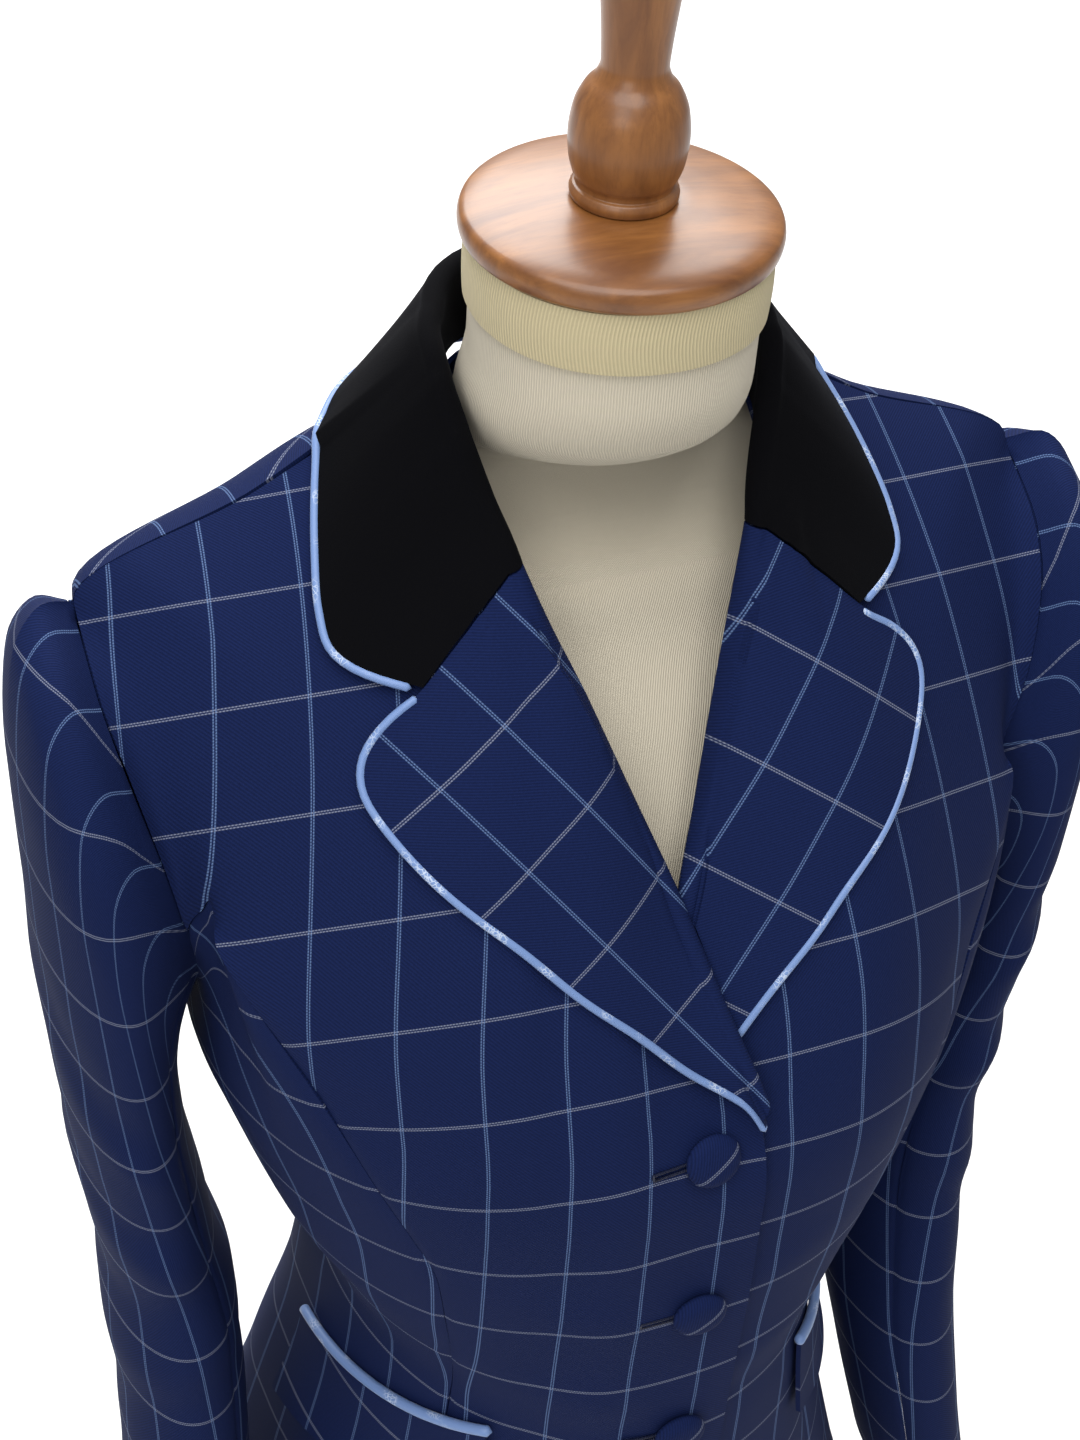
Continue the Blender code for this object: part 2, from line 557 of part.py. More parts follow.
def leaf_row(tree, root, crest, edge, stand_steps, clear):
    """Outer and inner points of one section of a turned leaf: stand, fold and fall to the edge."""
    up = unit(crest - root)
    fold = min(max(FOLD_SHARE * float(np.linalg.norm(edge - crest)), FOLD_LEAST), FOLD)
    stand = max(float(np.linalg.norm(crest - root)) - fold, 0.0)
    edge = lifted(tree, edge, LEAF + clear)
    out = edge - root - up * float(np.dot(edge - root, up))
    _, normal = outward(tree, root)
    out = unit(out + normal * float(np.linalg.norm(out)))
    out = unit(out - up * float(np.dot(out, up)))
    middle = root + up * (stand + ROOT_GAP) + out * (fold - CLOTH)
    outer = []
    inner = []
    for i in range(stand_steps):
        point = root + up * (ROOT_GAP + stand * i / stand_steps) - out * CLOTH
        outer.append(point)
        inner.append(point + out * LEAF)
    for i in range(FOLD_STEPS + 1):
        angle = math.pi * i / FOLD_STEPS
        spoke = up * math.sin(angle) - out * math.cos(angle)
        outer.append(middle + spoke * fold)
        inner.append(middle + spoke * (fold - LEAF))
    start = outer[-1]
    for i in range(1, FALL_STEPS + 1):
        share = i / FALL_STEPS
        height = LEAF + clear + LEAF_ROLL * (1.0 - share) ** 2
        point = lifted(tree, start + (edge - start) * share, height)
        _, normal = outward(tree, point)
        outer.append(point)
        inner.append(point - unit(out * (1.0 - share) + normal * share) * LEAF)
    return np.array([outer, inner])


def read_point(table, columns, at):
    x, y, drop = (float(through(table, column, at)) for column in columns)
    return np.array([x, y, SHOULDER_Z - drop])


def lapel_grid(side):
    tree = cloth_below(side)
    first = LAPEL[0][0]
    crest_from = first if side < 0 else LEFT_LAPEL_CREST_TURN
    edge_from = first if side < 0 else LEFT_LAPEL_EDGE_TURN
    rows = []
    for share in np.linspace(0.0, 1.0, LAPEL_ROWS + 1):
        crest_turn = crest_from + (GORGE_TURN - crest_from) * share
        edge_turn_here = edge_from + (GORGE_TURN - edge_from) * share
        root, lift = edge_point(side, crest_turn)
        crest = on_side(read_point(LAPEL, (1, 2, 3), crest_turn), side) + lift
        edge = on_side(read_point(LAPEL, (4, 5, 6), edge_turn_here), side)
        rows.append(leaf_row(tree, root, crest, edge, 0, LEAF_CLEAR))
    outer, inner = np.stack(rows, axis=1)
    clear = unit(outer[-1] - outer[-2]) * GORGE_GAP / 2
    outer[-1] -= clear
    inner[-1] -= clear
    return outer, inner


def collar_half(side):
    tree = cloth_below(side)
    rows = []
    for along in np.linspace(0.0, 1.0, COLLAR_ROWS + 1):
        turn = np.interp(along, *np.array(NECKLINE_TURN).T)
        root, lift = edge_point(side, turn)
        crest = on_side(read_point(COLLAR, (1, 2, 3), along), side) + lift
        edge = on_side(read_point(COLLAR, (4, 5, 6), along), side)
        rows.append(leaf_row(tree, root, crest, edge, STAND_STEPS, COLLAR_CLEAR))
    both = np.stack(rows, axis=1)
    both[:, 0] += unit(both[0, 1] - both[0, 0]) * GORGE_GAP
    return both


def collar_grid():
    right = collar_half(-1)
    left = collar_half(1)
    middle = (right[:, -1:] + left[:, -1:]) / 2
    return np.concatenate([right[:, :-1], middle, left[:, -2::-1]], axis=1)


def edge_pipe(grid, radius, tree):
    """Middle line of the piping along a leaf's outer edge, kept off the cloth below."""
    edge = grid[:, -1]
    normal = np.array([outward(tree, point)[1] for point in edge])
    step = unit(np.diff(edge, axis=0))
    before = np.concatenate([step[:1], step])
    after = np.concatenate([step, step[-1:]])
    along = unit(before + after)
    off = unit(np.cross(along, normal))
    off *= np.sign(np.sum(off * (edge - grid[:, -FALL_STEPS - 1]), axis=1, keepdims=True))
    spread = np.sqrt((1.0 + np.sum(before * after, axis=1, keepdims=True)) / 2)
    beside = off * (radius + SEAM_GAP) / np.maximum(spread, SHARPEST_BEND)
    line = edge + beside - normal * (LEAF / 2 - PIPE_PROUD)
    return np.array([lifted(tree, point, radius + 2 * SEAM_GAP) for point in line])


def finish(name, colour, roughness, sheen=0.0):
    material = bpy.data.materials.new(name)
    material.use_nodes = True
    shader = material.node_tree.nodes["Principled BSDF"]
    shader.inputs["Base Color"].default_value = colour
    shader.inputs["Roughness"].default_value = roughness
    shader.inputs["Sheen Weight"].default_value = sheen
    material.diffuse_color = colour
    return material


def add_object(name, data, material):
    thing = bpy.data.objects.new(name, data)
    thing.data.materials.append(material)
    bpy.context.scene.collection.objects.link(thing)
    return thing


def grid_mesh(name, grid, closed_around=False):
    rows, columns = grid.shape[:2]
    points = [tuple(p) for p in grid.reshape(-1, 3)]
    faces = []
    for i in range(rows - 1):
        for j in range(columns if closed_around else columns - 1):
            after = (j + 1) % columns
            faces.append((i * columns + j, i * columns + after,
                          (i + 1) * columns + after, (i + 1) * columns + j))
    mesh = bpy.data.meshes.new(name)
    mesh.from_pydata(points, [], faces)
    mesh.shade_smooth()
    return mesh


def split_quad(grid, i, j):
    """Two triangles of a grid's cell, cut along its shorter diagonal."""
    columns = grid.shape[1]
    a, b = i * columns + j, i * columns + j + 1
    c, d = b + columns, a + columns
    falling = np.linalg.norm(grid[i, j] - grid[i + 1, j + 1])
    rising = np.linalg.norm(grid[i, j + 1] - grid[i + 1, j])
    return ((a, b, c), (a, c, d)) if falling < rising else ((a, b, d), (b, c, d))


def shell(name, outer, inner, material):
    """A cloth wall: its outer points, its inner points and the rim between them."""
    rows, columns = outer.shape[:2]
    points = np.concatenate([outer.reshape(-1, 3), inner.reshape(-1, 3)])
    count = rows * columns
    faces = []
    for i in range(rows - 1):
        for j in range(columns - 1):
            for face in split_quad(outer, i, j):
                faces.append(face)
                faces.append(tuple(v + count for v in reversed(face)))
    rim = [j for j in range(columns)]
    rim += [i * columns + columns - 1 for i in range(1, rows)]
    rim += [(rows - 1) * columns + j for j in range(columns - 2, -1, -1)]
    rim += [i * columns for i in range(rows - 2, 0, -1)]
    for here, after in zip(rim, rim[1:] + rim[:1]):
        faces.append((after, here, here + count, after + count))
    mesh = bpy.data.meshes.new(name)
    mesh.from_pydata([tuple(p) for p in points], [], faces)
    if mesh.polygons[0].normal.dot(Vector(outer[0, 0] - inner[0, 0])) < 0:
        mesh.flip_normals()
    mesh.shade_smooth()
    mesh.set_sharp_from_angle(angle=SHARP_ANGLE)
    return add_object(name, mesh, material)


def turned(name, profile, centre, axis, sides, material):
    """A solid turned about an axis from (radius, height) rows that start and end on the axis."""
    turn = Vector((0.0, 0.0, 1.0)).rotation_difference(Vector(axis))
    points = []
    for radius, height in profile:
        if radius == 0.0:
            points.append([Vector((0.0, 0.0, height))])
            continue
        angles = [2 * math.pi * k / sides for k in range(sides)]
        points.append([Vector((radius * math.cos(a), radius * math.sin(a), height)) for a in angles])
    flat = []
    starts = []
    for ring in points:
        starts.append(len(flat))
        flat.extend(turn @ p for p in ring)
    faces = []
    for low, high, first, second in zip(points, points[1:], starts, starts[1:]):
        for k in range(sides):
            after = (k + 1) % sides
            if len(low) == 1:
                faces.append((first, second + after, second + k))
            elif len(high) == 1:
                faces.append((first + k, first + after, second))
            else:
                faces.append((first + k, first + after, second + after, second + k))
    mesh = bpy.data.meshes.new(name)
    mesh.from_pydata([tuple(p) for p in flat], [], faces)
    mesh.shade_smooth()
    mesh.set_sharp_from_angle(angle=SHARP_ANGLE)
    thing = add_object(name, mesh, material)
    thing.location = centre
    return thing


def pipe(name, line, radius, material):
    curve = bpy.data.curves.new(name, "CURVE")
    curve.dimensions = "3D"
    curve.bevel_depth = radius
    curve.bevel_resolution = 1
    curve.use_fill_caps = True
    spline = curve.splines.new("POLY")
    spline.points.add(len(line) - 1)
    for point, place in zip(spline.points, line):
        point.co = (*place, 1.0)
    return add_object(name, curve, material)


def form_ring(drop, grow=0.0):
    half, front, back, middle = (float(through(FORM, column, drop)) for column in range(1, 5))
    angle = np.radians(np.arange(FORM_SIDES) * 360.0 / FORM_SIDES)
    power = 2 / FORM_ROUNDNESS
    x = (half + grow) * signed_power(np.sin(angle), power)
    ahead = np.where(np.cos(angle) > 0, middle - front + grow, back - middle + grow)
    y = middle - ahead * signed_power(np.cos(angle), power)
    return np.stack([x, y, np.full(FORM_SIDES, SHOULDER_Z - drop)], axis=-1)


def closed_loft(name, rings, material):
    """Rings skinned from bottom to top, with a flat face over each end."""
    mesh = grid_mesh(name, np.array(rings), closed_around=True)
    sides = len(rings[0])
    count = len(rings)
    points = [tuple(v.co) for v in mesh.vertices]
    faces = [tuple(f.vertices) for f in mesh.polygons]
    faces.append(tuple(reversed(range(sides))))
    faces.append(tuple(range((count - 1) * sides, count * sides)))
    solid = bpy.data.meshes.new(name)
    solid.from_pydata(points, [], faces)
    solid.shade_smooth()
    solid.set_sharp_from_angle(angle=SHARP_ANGLE)
    return add_object(name, solid, material)


def build_form(jersey, wood):
    drops = [row[0] for row in FORM]
    between = [(a + b) / 2 for a, b in zip(drops, drops[1:]) if a - b > FORM_STEP]
    rings = [form_ring(drop) for drop in sorted(drops + between, reverse=True)]
    closed_loft("form_torso", rings, jersey)
    low, high = BAND_DROPS
    gap = SEAM_GAP
    inner = [form_ring(low, gap), form_ring(high, gap)]
    outer = [form_ring(high, gap + BAND_WALL), form_ring(low, gap + BAND_WALL)]
    band = grid_mesh("neck_band", np.array([*inner, *outer, inner[0]]), closed_around=True)
    solid = bpy.data.meshes.new("neck_band")
    points = np.array([v.co for v in band.vertices])[: 4 * FORM_SIDES]
    faces = [tuple(v % (4 * FORM_SIDES) for v in f.vertices) for f in band.polygons]
    solid.from_pydata([tuple(p) for p in points], [], faces)
    if solid.polygons[0].normal.y < 0:
        solid.flip_normals()
    add_object("neck_band", solid, jersey)
    up = (0.0, 0.0, 1.0)
    cap_z = SHOULDER_Z - CAP_BASE_DROP
    turned("neck_cap", CAP_PROFILE, (0.0, NECK_Y, cap_z), up, ROUND_SIDES, wood)
    finial_z = cap_z + CAP_PROFILE[-1][1] + SEAM_GAP
    turned("finial", FINIAL_PROFILE, (0.0, NECK_Y, finial_z), up, SLIM_SIDES, wood)
    turned("stand_base", BASE_PROFILE, (0.0, 0.0, 0.0), up, ROUND_SIDES, wood)
    foot = BASE_PROFILE[-1][1] + SEAM_GAP
    length = SHOULDER_Z - FORM[0][0] - SEAM_GAP - foot
    pole = ((0.0, 0.0), (POLE_RADIUS, 0.0), (POLE_RADIUS, length), (0.0, length))
    turned("stand_pole", pole, (0.0, 0.0, foot), up, SLIM_SIDES, wood)


def build_body(cloth):
    for side, word in ((-1, "right"), (1, "left")):
        panels = {"front": front_panel, "side_panel": side_panel, "back": back_panel}
        for part, panel in panels.items():
            grid, normal = panel(side)
            shell(f"{part}_{word}", grid, grid - normal * CLOTH, cloth)


def build_sleeves(cloth):
    front, back = SLEEVE_SEAMS
    along = np.linspace(0.0, 1.0, SLEEVE_ROWS + 1)[:, None]
    top = np.linspace(back - 360.0 + SEAM_ANGLE, front - SEAM_ANGLE, TOP_SLEEVE_COLUMNS + 1)
    under = np.linspace(front + SEAM_ANGLE, back - SEAM_ANGLE, UNDER_SLEEVE_COLUMNS + 1)
    for side, word in ((-1, "right"), (1, "left")):
        for name, around in ((f"top_sleeve_{word}", top), (f"under_sleeve_{word}", under)):
            around, along_here = np.broadcast_arrays(around[None, :], along)
            points = on_side(sleeve_point(around, along_here), side)
            normal = on_side(sleeve_spoke(around, along_here), side)
            shell(name, points, points - normal * CLOTH, cloth)


def build_lapels(cloth, piping):
    for side, word in ((-1, "right"), (1, "left")):
        outer, inner = lapel_grid(side)
        shell(f"lapel_{word}", outer, inner, cloth)
        line = edge_pipe(outer, PIPE_RADIUS, cloth_below(side))
        pipe(f"lapel_piping_{word}", line[:-1], PIPE_RADIUS, piping)


def build_collar(velvet, piping):
    outer, inner = collar_grid()
    shell("collar", outer, inner, velvet)
    line = edge_pipe(outer, PIPE_RADIUS, cloth_below(-1, 1))
    pipe("collar_piping", line[1:-1], PIPE_RADIUS, piping)


def build_pockets(cloth, piping):
    across = np.linspace(0.0, 1.0, FLAP_COLUMNS + 1)
    turn = POCKET_FRONT[0] + (POCKET_SIDE[0] - POCKET_FRONT[0]) * across
    drop = POCKET_FRONT[1] + (POCKET_SIDE[1] - POCKET_FRONT[1]) * across
    for side, word in ((-1, "right"), (1, "left")):
        tree = cloth_below(side)
        rows = []
        for share in np.linspace(0.0, 1.0, FLAP_ROWS + 1):
            row = on_side(ring_point(turn, drop + FLAP_DEPTH * share), side)
            height = LEAF + LEAF_CLEAR + FLAP_STAND_OFF * share
            rows.append([lifted(tree, point, height) for point in row])
        grid = np.array(rows)
        normal = grid_normals(grid)
        if normal[0, 0, 1] > 0:
            normal = -normal
        shell(f"pocket_flap_{word}", grid, grid - normal * LEAF, cloth)
        above = on_side(ring_point(turn, drop - POCKET_PIPE_RADIUS - SEAM_GAP), side)
        line = [lifted(tree, point, POCKET_PIPE_RADIUS + 2 * SEAM_GAP) for point in above]
        pipe(f"pocket_piping_{word}", line, POCKET_PIPE_RADIUS, piping)


def build_buttons(cloth):
    tree = cloth_below(-1)
    for number, drop in enumerate(BUTTON_DROPS, start=1):
        start = Vector((BUTTON_X, -1.0, SHOULDER_Z - drop))
        spot, normal, _, _ = tree.ray_cast(start, Vector((0.0, 1.0, 0.0)))
        if normal.y > 0:
            normal = -normal
        turned(f"button_{number}", BUTTON_PROFILE, spot, normal, SLIM_SIDES, cloth)


def main():
    for thing in list(bpy.data.objects):
        bpy.data.objects.remove(thing, do_unlink=True)
    cloth = finish("navy_wool_twill", NAVY, 0.85, 0.1)
    velvet = finish("black_velvet", VELVET_BLACK, 0.95, 0.4)
    piping = finish("blue_satin_piping", PIPING_BLUE, 0.4)
    jersey = finish("cream_jersey", JERSEY_CREAM, 0.9, 0.1)
    wood = finish("varnished_wood", WOOD_BROWN, 0.35)
    build_form(jersey, wood)
    build_body(cloth)
    build_sleeves(cloth)
    build_lapels(cloth, piping)
    build_collar(velvet, piping)
    build_pockets(cloth, piping)
    build_buttons(cloth)


if __name__ == "__main__":
    main()
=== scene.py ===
"""Riding show coat on a limbless dress form: the look of each piece, and the stage around them.

Frame: metres, +Z up, origin on the floor under the stand's middle. The coat faces -Y, so the
wearer's right side is at -X. Heights of the coat are given as drops below its shoulder points.
"""
import math
from functools import partial

import bpy
import numpy as np
from mathutils import Matrix, Vector
from mathutils.bvhtree import BVHTree


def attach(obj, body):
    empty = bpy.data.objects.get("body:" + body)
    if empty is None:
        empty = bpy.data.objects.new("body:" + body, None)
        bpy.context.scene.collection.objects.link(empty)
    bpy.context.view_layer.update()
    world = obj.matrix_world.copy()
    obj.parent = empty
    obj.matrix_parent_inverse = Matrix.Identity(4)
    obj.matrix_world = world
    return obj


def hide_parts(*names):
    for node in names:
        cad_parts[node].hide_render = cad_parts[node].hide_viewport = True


bl_info = {
    "name": "Riding show coat on a dress form",
    "version": (1, 0, 0),
    "blender": (4, 5, 0),
    "location": "View3D > Sidebar > Coat",
    "description": "Builds a riding show coat on its dress form, and a plain studio stage",
    "category": "Add Mesh",
}

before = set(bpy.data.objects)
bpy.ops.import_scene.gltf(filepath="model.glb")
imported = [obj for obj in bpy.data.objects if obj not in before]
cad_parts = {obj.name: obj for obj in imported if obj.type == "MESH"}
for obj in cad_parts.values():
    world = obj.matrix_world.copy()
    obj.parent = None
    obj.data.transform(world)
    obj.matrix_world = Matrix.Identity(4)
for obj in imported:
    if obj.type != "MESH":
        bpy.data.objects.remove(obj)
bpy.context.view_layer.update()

SHOULDER_Z = 1.36  # height of the coat's shoulder points above the floor
SEAM_GAP = 0.0003  # clear gap between two pieces at a seam
CLOTH = 0.0018  # wall of the wool cloth with its canvas
LEAF = 0.0022  # wall of the doubled lapels, collar and flaps
OVERLAP_LIFT = 0.0042  # how far the right front lies out over the left one
OVERLAP_FADE = (0.028, 0.062)  # distances from the centre line between which that lift ends
MIDDLE_Y = 0.006  # depth of the coat's side line behind the stand's axis
RING_DROP = 0.205  # drop of the last whole ring, just under the arms
HEM_DROP = 0.63
HEM_CORNER = 0.06  # radius of the rounded front corners at the hem
VENT_DROP = 0.43  # drop where the centre back vent begins
VENT_HALF_GAP = 0.006  # half the vent's width at the hem
VENT_POWER = 4  # how closely the vent's opening keeps to the centre back

# Whole rings of the coat, hem to underarm
SECTIONS = (  # drop, half width, front, back
    (0.63, 0.18, 0.15, 0.15),
    (0.545, 0.156, 0.147, 0.128),
    (0.465, 0.135, 0.144, 0.106),
    (0.395, 0.118, 0.143, 0.091),
    (0.34, 0.113, 0.143, 0.086),
    (0.27, 0.14, 0.143, 0.092),
    (0.205, 0.16, 0.14, 0.105),
)
ROUNDNESS = 2.25  # superellipse power of the rings
BUST_X = 0.082
BUST_DROP = 0.19
BUST_REACH_X = 0.06
BUST_REACH_Z = 0.08
BUST_HEIGHT = 0.008

# Upper edge of the body on one side, from the lapel's break point round to the nape. x is
# measured towards that side, and lean is the direction in which the cloth reaches the edge.
TOP_EDGE = (  # turn, x, y, drop, lean x, lean y, lean z
    (-6.7, -0.0245, -0.1345, 0.158, 0.0, 0.2, 0.98),
    (5.0, 0.005, -0.086, 0.0865, 0.05, 0.6, 0.8),
    (17.0, 0.0475, -0.0205, -0.029, 0.1, 0.65, 0.75),
    (22.0, 0.06, 0.012, -0.055, 0.05, 0.8, 0.6),
    (27.0, 0.064, 0.044, -0.062, 0.05, 0.92, 0.35),
    (42.0, 0.123, 0.0415, -0.032, 0.1, 0.92, 0.35),
    (57.0, 0.189, 0.038, -0.0005, 0.15, 0.9, 0.35),
    (61.0, 0.1885, 0.008, 0.0155, 0.48, 0.6, 0.6),
    (64.5, 0.1842, -0.015, 0.037, 0.6, 0.42, 0.62),
    (70.0, 0.1755, -0.029, 0.075, 0.62, 0.32, 0.68),
    (75.0, 0.17, -0.0305, 0.102, 0.54, 0.26, 0.78),
    (80.0, 0.165, -0.025, 0.13, 0.36, 0.2, 0.9),
    (86.0, 0.1615, -0.009, 0.156, 0.12, 0.08, 0.99),
    (94.0, 0.16, 0.015, 0.169, 0.05, 0.0, 0.99),
    (102.0, 0.1615, 0.04, 0.157, 0.05, 0.0, 0.99),
    (109.0, 0.167, 0.058, 0.125, 0.3, -0.3, 0.9),
    (117.0, 0.1765, 0.069, 0.078, 0.46, -0.34, 0.8),
    (125.0, 0.1862, 0.066, 0.0235, 0.46, -0.5, 0.68),
    (130.0, 0.189, 0.038, -0.0005, 0.1, -0.95, 0.25),
    (144.0, 0.123, 0.0415, -0.032, 0.05, -0.98, 0.1),
    (158.0, 0.064, 0.044, -0.062, -0.05, -0.85, 0.5),
    (169.0, 0.033, 0.069, -0.062, 0.0, -0.25, 0.95),
    (180.0, 0.0, 0.077, -0.061, 0.0, -0.2, 0.97),
)
BACK_TURN = 180.0  # the centre back
GORGE_TURN = 17.0  # where the roll line meets the collar
NECK_TURNS = (27.0, 158.0)  # neck end of the shoulder seam, front and back
SHOULDER_TURNS = (57.0, 130.0)
UPPER_PULL = 0.95  # how strongly the upper cloth keeps its direction at both ends
SHOULDER_SEAM_NORMAL = (0.45, 0.0, 0.89)  # direction out of the coat along the shoulder seam
TRIM_RISE = 0.003  # share of the upper rows left free at the upper edge
SETTLE_RISES = (1.3, 1.6)  # rises between which a front settles smooth beside the armhole
SETTLE_TURN = 6.0  # how far this reaches from the shoulder point
SETTLE_ROUNDS = 120
NUDGE_TURN = 0.5  # small steps by which directions on the cloth are measured
NUDGE_RISE = 0.01
NUDGE_DROP = 0.002
TOUCH = 0.005  # turns and rises this close count as the same
CORNER_RISE = 0.3  # rise at which the hem's rounded corner has no more effect
ROWS_LOW = 56  # rows of points below and above the underarm ring
ROWS_HIGH = 44
FRONT_COLUMNS = (26, 6, 26, 16)  # columns of points between the corners of each upper edge
SIDE_COLUMNS = 44
BACK_COLUMNS = (18, 24, 16)

# Seams and the front edge, by rise: 0 at the hem, 1 at the underarm ring, 2 at the upper edge
PRINCESS_SEAM = ((0.0, 44.0), (0.66, 46.0), (0.84, 39.0), (0.93, 38.0), (1.0, 41.0), (2.0, 76.0))
SIDE_BACK_SEAM = ((0.0, 134.0), (0.7, 140.0), (1.0, 128.0), (2.0, 112.0))
FRONT_EDGE_X = ((0.0, -0.006), (0.3, -0.02), (0.5, -0.0245), (1.0, -0.0245))

# Lapel on one side, from the break point to the gorge seam: its fold and its outer edge
LAPEL = (  # turn, crest x, crest y, crest drop, edge x, edge y, edge drop
    (-6.7, -0.0262, -0.136, 0.153, -0.0268, -0.1375, 0.161),
    (-5.0, -0.0235, -0.13, 0.144, -0.0225, -0.135, 0.154),
    (-2.0, -0.0165, -0.118, 0.127, 0.0, -0.128, 0.141),
    (2.0, -0.0065, -0.101, 0.103, 0.029, -0.1085, 0.1195),
    (6.0, 0.0035, -0.084, 0.0785, 0.0595, -0.09, 0.09),
    (9.0, 0.012, -0.071, 0.057, 0.078, -0.073, 0.07),
    (12.0, 0.022, -0.055, 0.03, 0.093, -0.052, 0.054),
    (13.5, 0.028, -0.046, 0.013, 0.0995, -0.0385, 0.0435),
    (14.8, 0.034, -0.037, -0.003, 0.0975, -0.034, 0.033),
    (17.0, 0.0434, -0.0227, -0.031, 0.0786, -0.0339, 0.009),
)
LEFT_LAPEL_CREST_TURN = 4.6  # where the left lapel passes under the right one
LEFT_LAPEL_EDGE_TURN = 0.2

# Collar on one side, from the gorge seam to the centre back: its fold and its outer edge
COLLAR = (  # along, crest x, crest y, crest drop, edge x, edge y, edge drop
    (0.0, 0.0434, -0.0227, -0.031, 0.0786, -0.0339, 0.009),
    (0.07, 0.0455, -0.0165, -0.04, 0.093, -0.019, 0.011),
    (0.14, 0.049, -0.0095, -0.0505, 0.103, -0.0075, 0.007),
    (0.24, 0.053, -0.0025, -0.064, 0.1034, 0.002, -0.002),
    (0.36, 0.0565, 0.0045, -0.077, 0.1012, 0.014, -0.0145),
    (0.5, 0.059, 0.014, -0.089, 0.0985, 0.0303, -0.037),
    (0.62, 0.058, 0.027, -0.095, 0.0945, 0.045, -0.052),
    (0.75, 0.05, 0.046, -0.098, 0.079, 0.068, -0.056),
    (0.88, 0.029, 0.064, -0.099, 0.043, 0.09, -0.052),
    (1.0, 0.0, 0.07, -0.099, 0.0, 0.0985, -0.049),
)
NECKLINE_TURN = ((0.0, 17.0), (0.5, 22.0), (0.68, 27.0), (0.68, 158.0), (1.0, 180.0))

# Sleeve rings on one side, armhole to cuff
SLEEVE = (  # along, outer x, outer drop, inner x, inner drop, front y, back y
    (0.0, 0.189, -0.0005, 0.16, 0.169, -0.03, 0.07),
    (0.04, 0.2005, -0.0058, 0.1645, 0.178, -0.0385, 0.076),
    (0.1, 0.2135, 0.008, 0.168, 0.191, -0.046, 0.081),
    (0.18, 0.2195, 0.058, 0.1695, 0.206, -0.049, 0.082),
    (0.28, 0.2195, 0.13, 0.168, 0.236, -0.049, 0.08),
    (0.42, 0.2165, 0.222, 0.16, 0.292, -0.048, 0.072),
    (0.58, 0.209, 0.33, 0.15, 0.368, -0.054, 0.058),
    (0.74, 0.208, 0.435, 0.153, 0.45, -0.07, 0.036),
    (0.88, 0.217, 0.525, 0.166, 0.53, -0.086, 0.014),
    (1.0, 0.229, 0.595, 0.181, 0.597, -0.096, 0.0),
)
ARMHOLE_TURN = ((0.0, 57.0), (90.0, 74.0), (180.0, 94.0), (270.0, 116.0), (360.0, 130.0))
SLEEVE_SEAMS = (125.0, 250.0)  # front and back sleeve seams, degrees round from the outer side
ARMHOLE_GAP = 0.0006  # clear gap between the body's armhole and the sleeve
ARMHOLE_FADE = 0.3  # along the sleeve, where the armhole's own outline fades out
SLEEVE_ROWS = 96
SLEEVE_COLUMNS = 36  # columns of points on each part of a sleeve half
RING_CHECKS = 12  # points that give the middle of a sleeve's ring
SEAM_ANGLE = 0.05  # degrees left free at each side of a sleeve seam

# Fold of a lapel or collar: radius of its outer face, and how it lies on the cloth below
FOLD = 0.0046
FOLD_LEAST = 0.0026  # the same where the leaf runs out to nothing
FOLD_SHARE = 0.3  # share of the leaf's width that the fold takes there
FOLD_STEPS = 12  # steps of points round the fold, up the stand and down the fall
STAND_STEPS = 8
FALL_STEPS = 22
LAPEL_ROWS = 70
COLLAR_ROWS = 56  # rows from the gorge seam to the centre back
LEAF_CLEAR = 0.0018  # air between a lapel's or flap's underside and the cloth below it
COLLAR_CLEAR = 0.0026  # the same under the collar, which bridges the shoulder seam
ROOT_GAP = 0.0016  # clear gap between a leaf and the edge it is sewn to
GORGE_GAP = 0.0006  # the same between the collar and the lapel at the gorge seam
UPWARD = 0.12  # upward share of the direction away from the body's axis
LEAF_ROLL = 0.003  # extra height that the fold still has beside its crest
PIPE_RADIUS = 0.0016  # piping on the collar and lapels
PIPE_PROUD = 0.0004  # how far the piping's middle lies above the leaf's middle
POCKET_PIPE_RADIUS = 0.0024

# Flap pockets on one side: corners of the upper edge, by turn and drop
POCKET_FRONT = (36.0, 0.352)
POCKET_SIDE = (86.0, 0.394)
FLAP_DEPTH = 0.052
FLAP_STAND_OFF = 0.003  # how far the flap's lower edge stands out
FLAP_COLUMNS = 40
FLAP_ROWS = 18

# Covered buttons, all on the centre front
BUTTON_DROPS = (0.174, 0.2585, 0.343)
BUTTON_X = 0.002
BUTTON_PROFILE = (  # radius, height
    (0.0, 0.0004),
    (0.009, 0.0004),
    (0.0108, 0.0012),
    (0.0113, 0.0026),
    (0.01, 0.0047),
    (0.007, 0.0062),
    (0.003, 0.0068),
    (0.0, 0.0069),
)

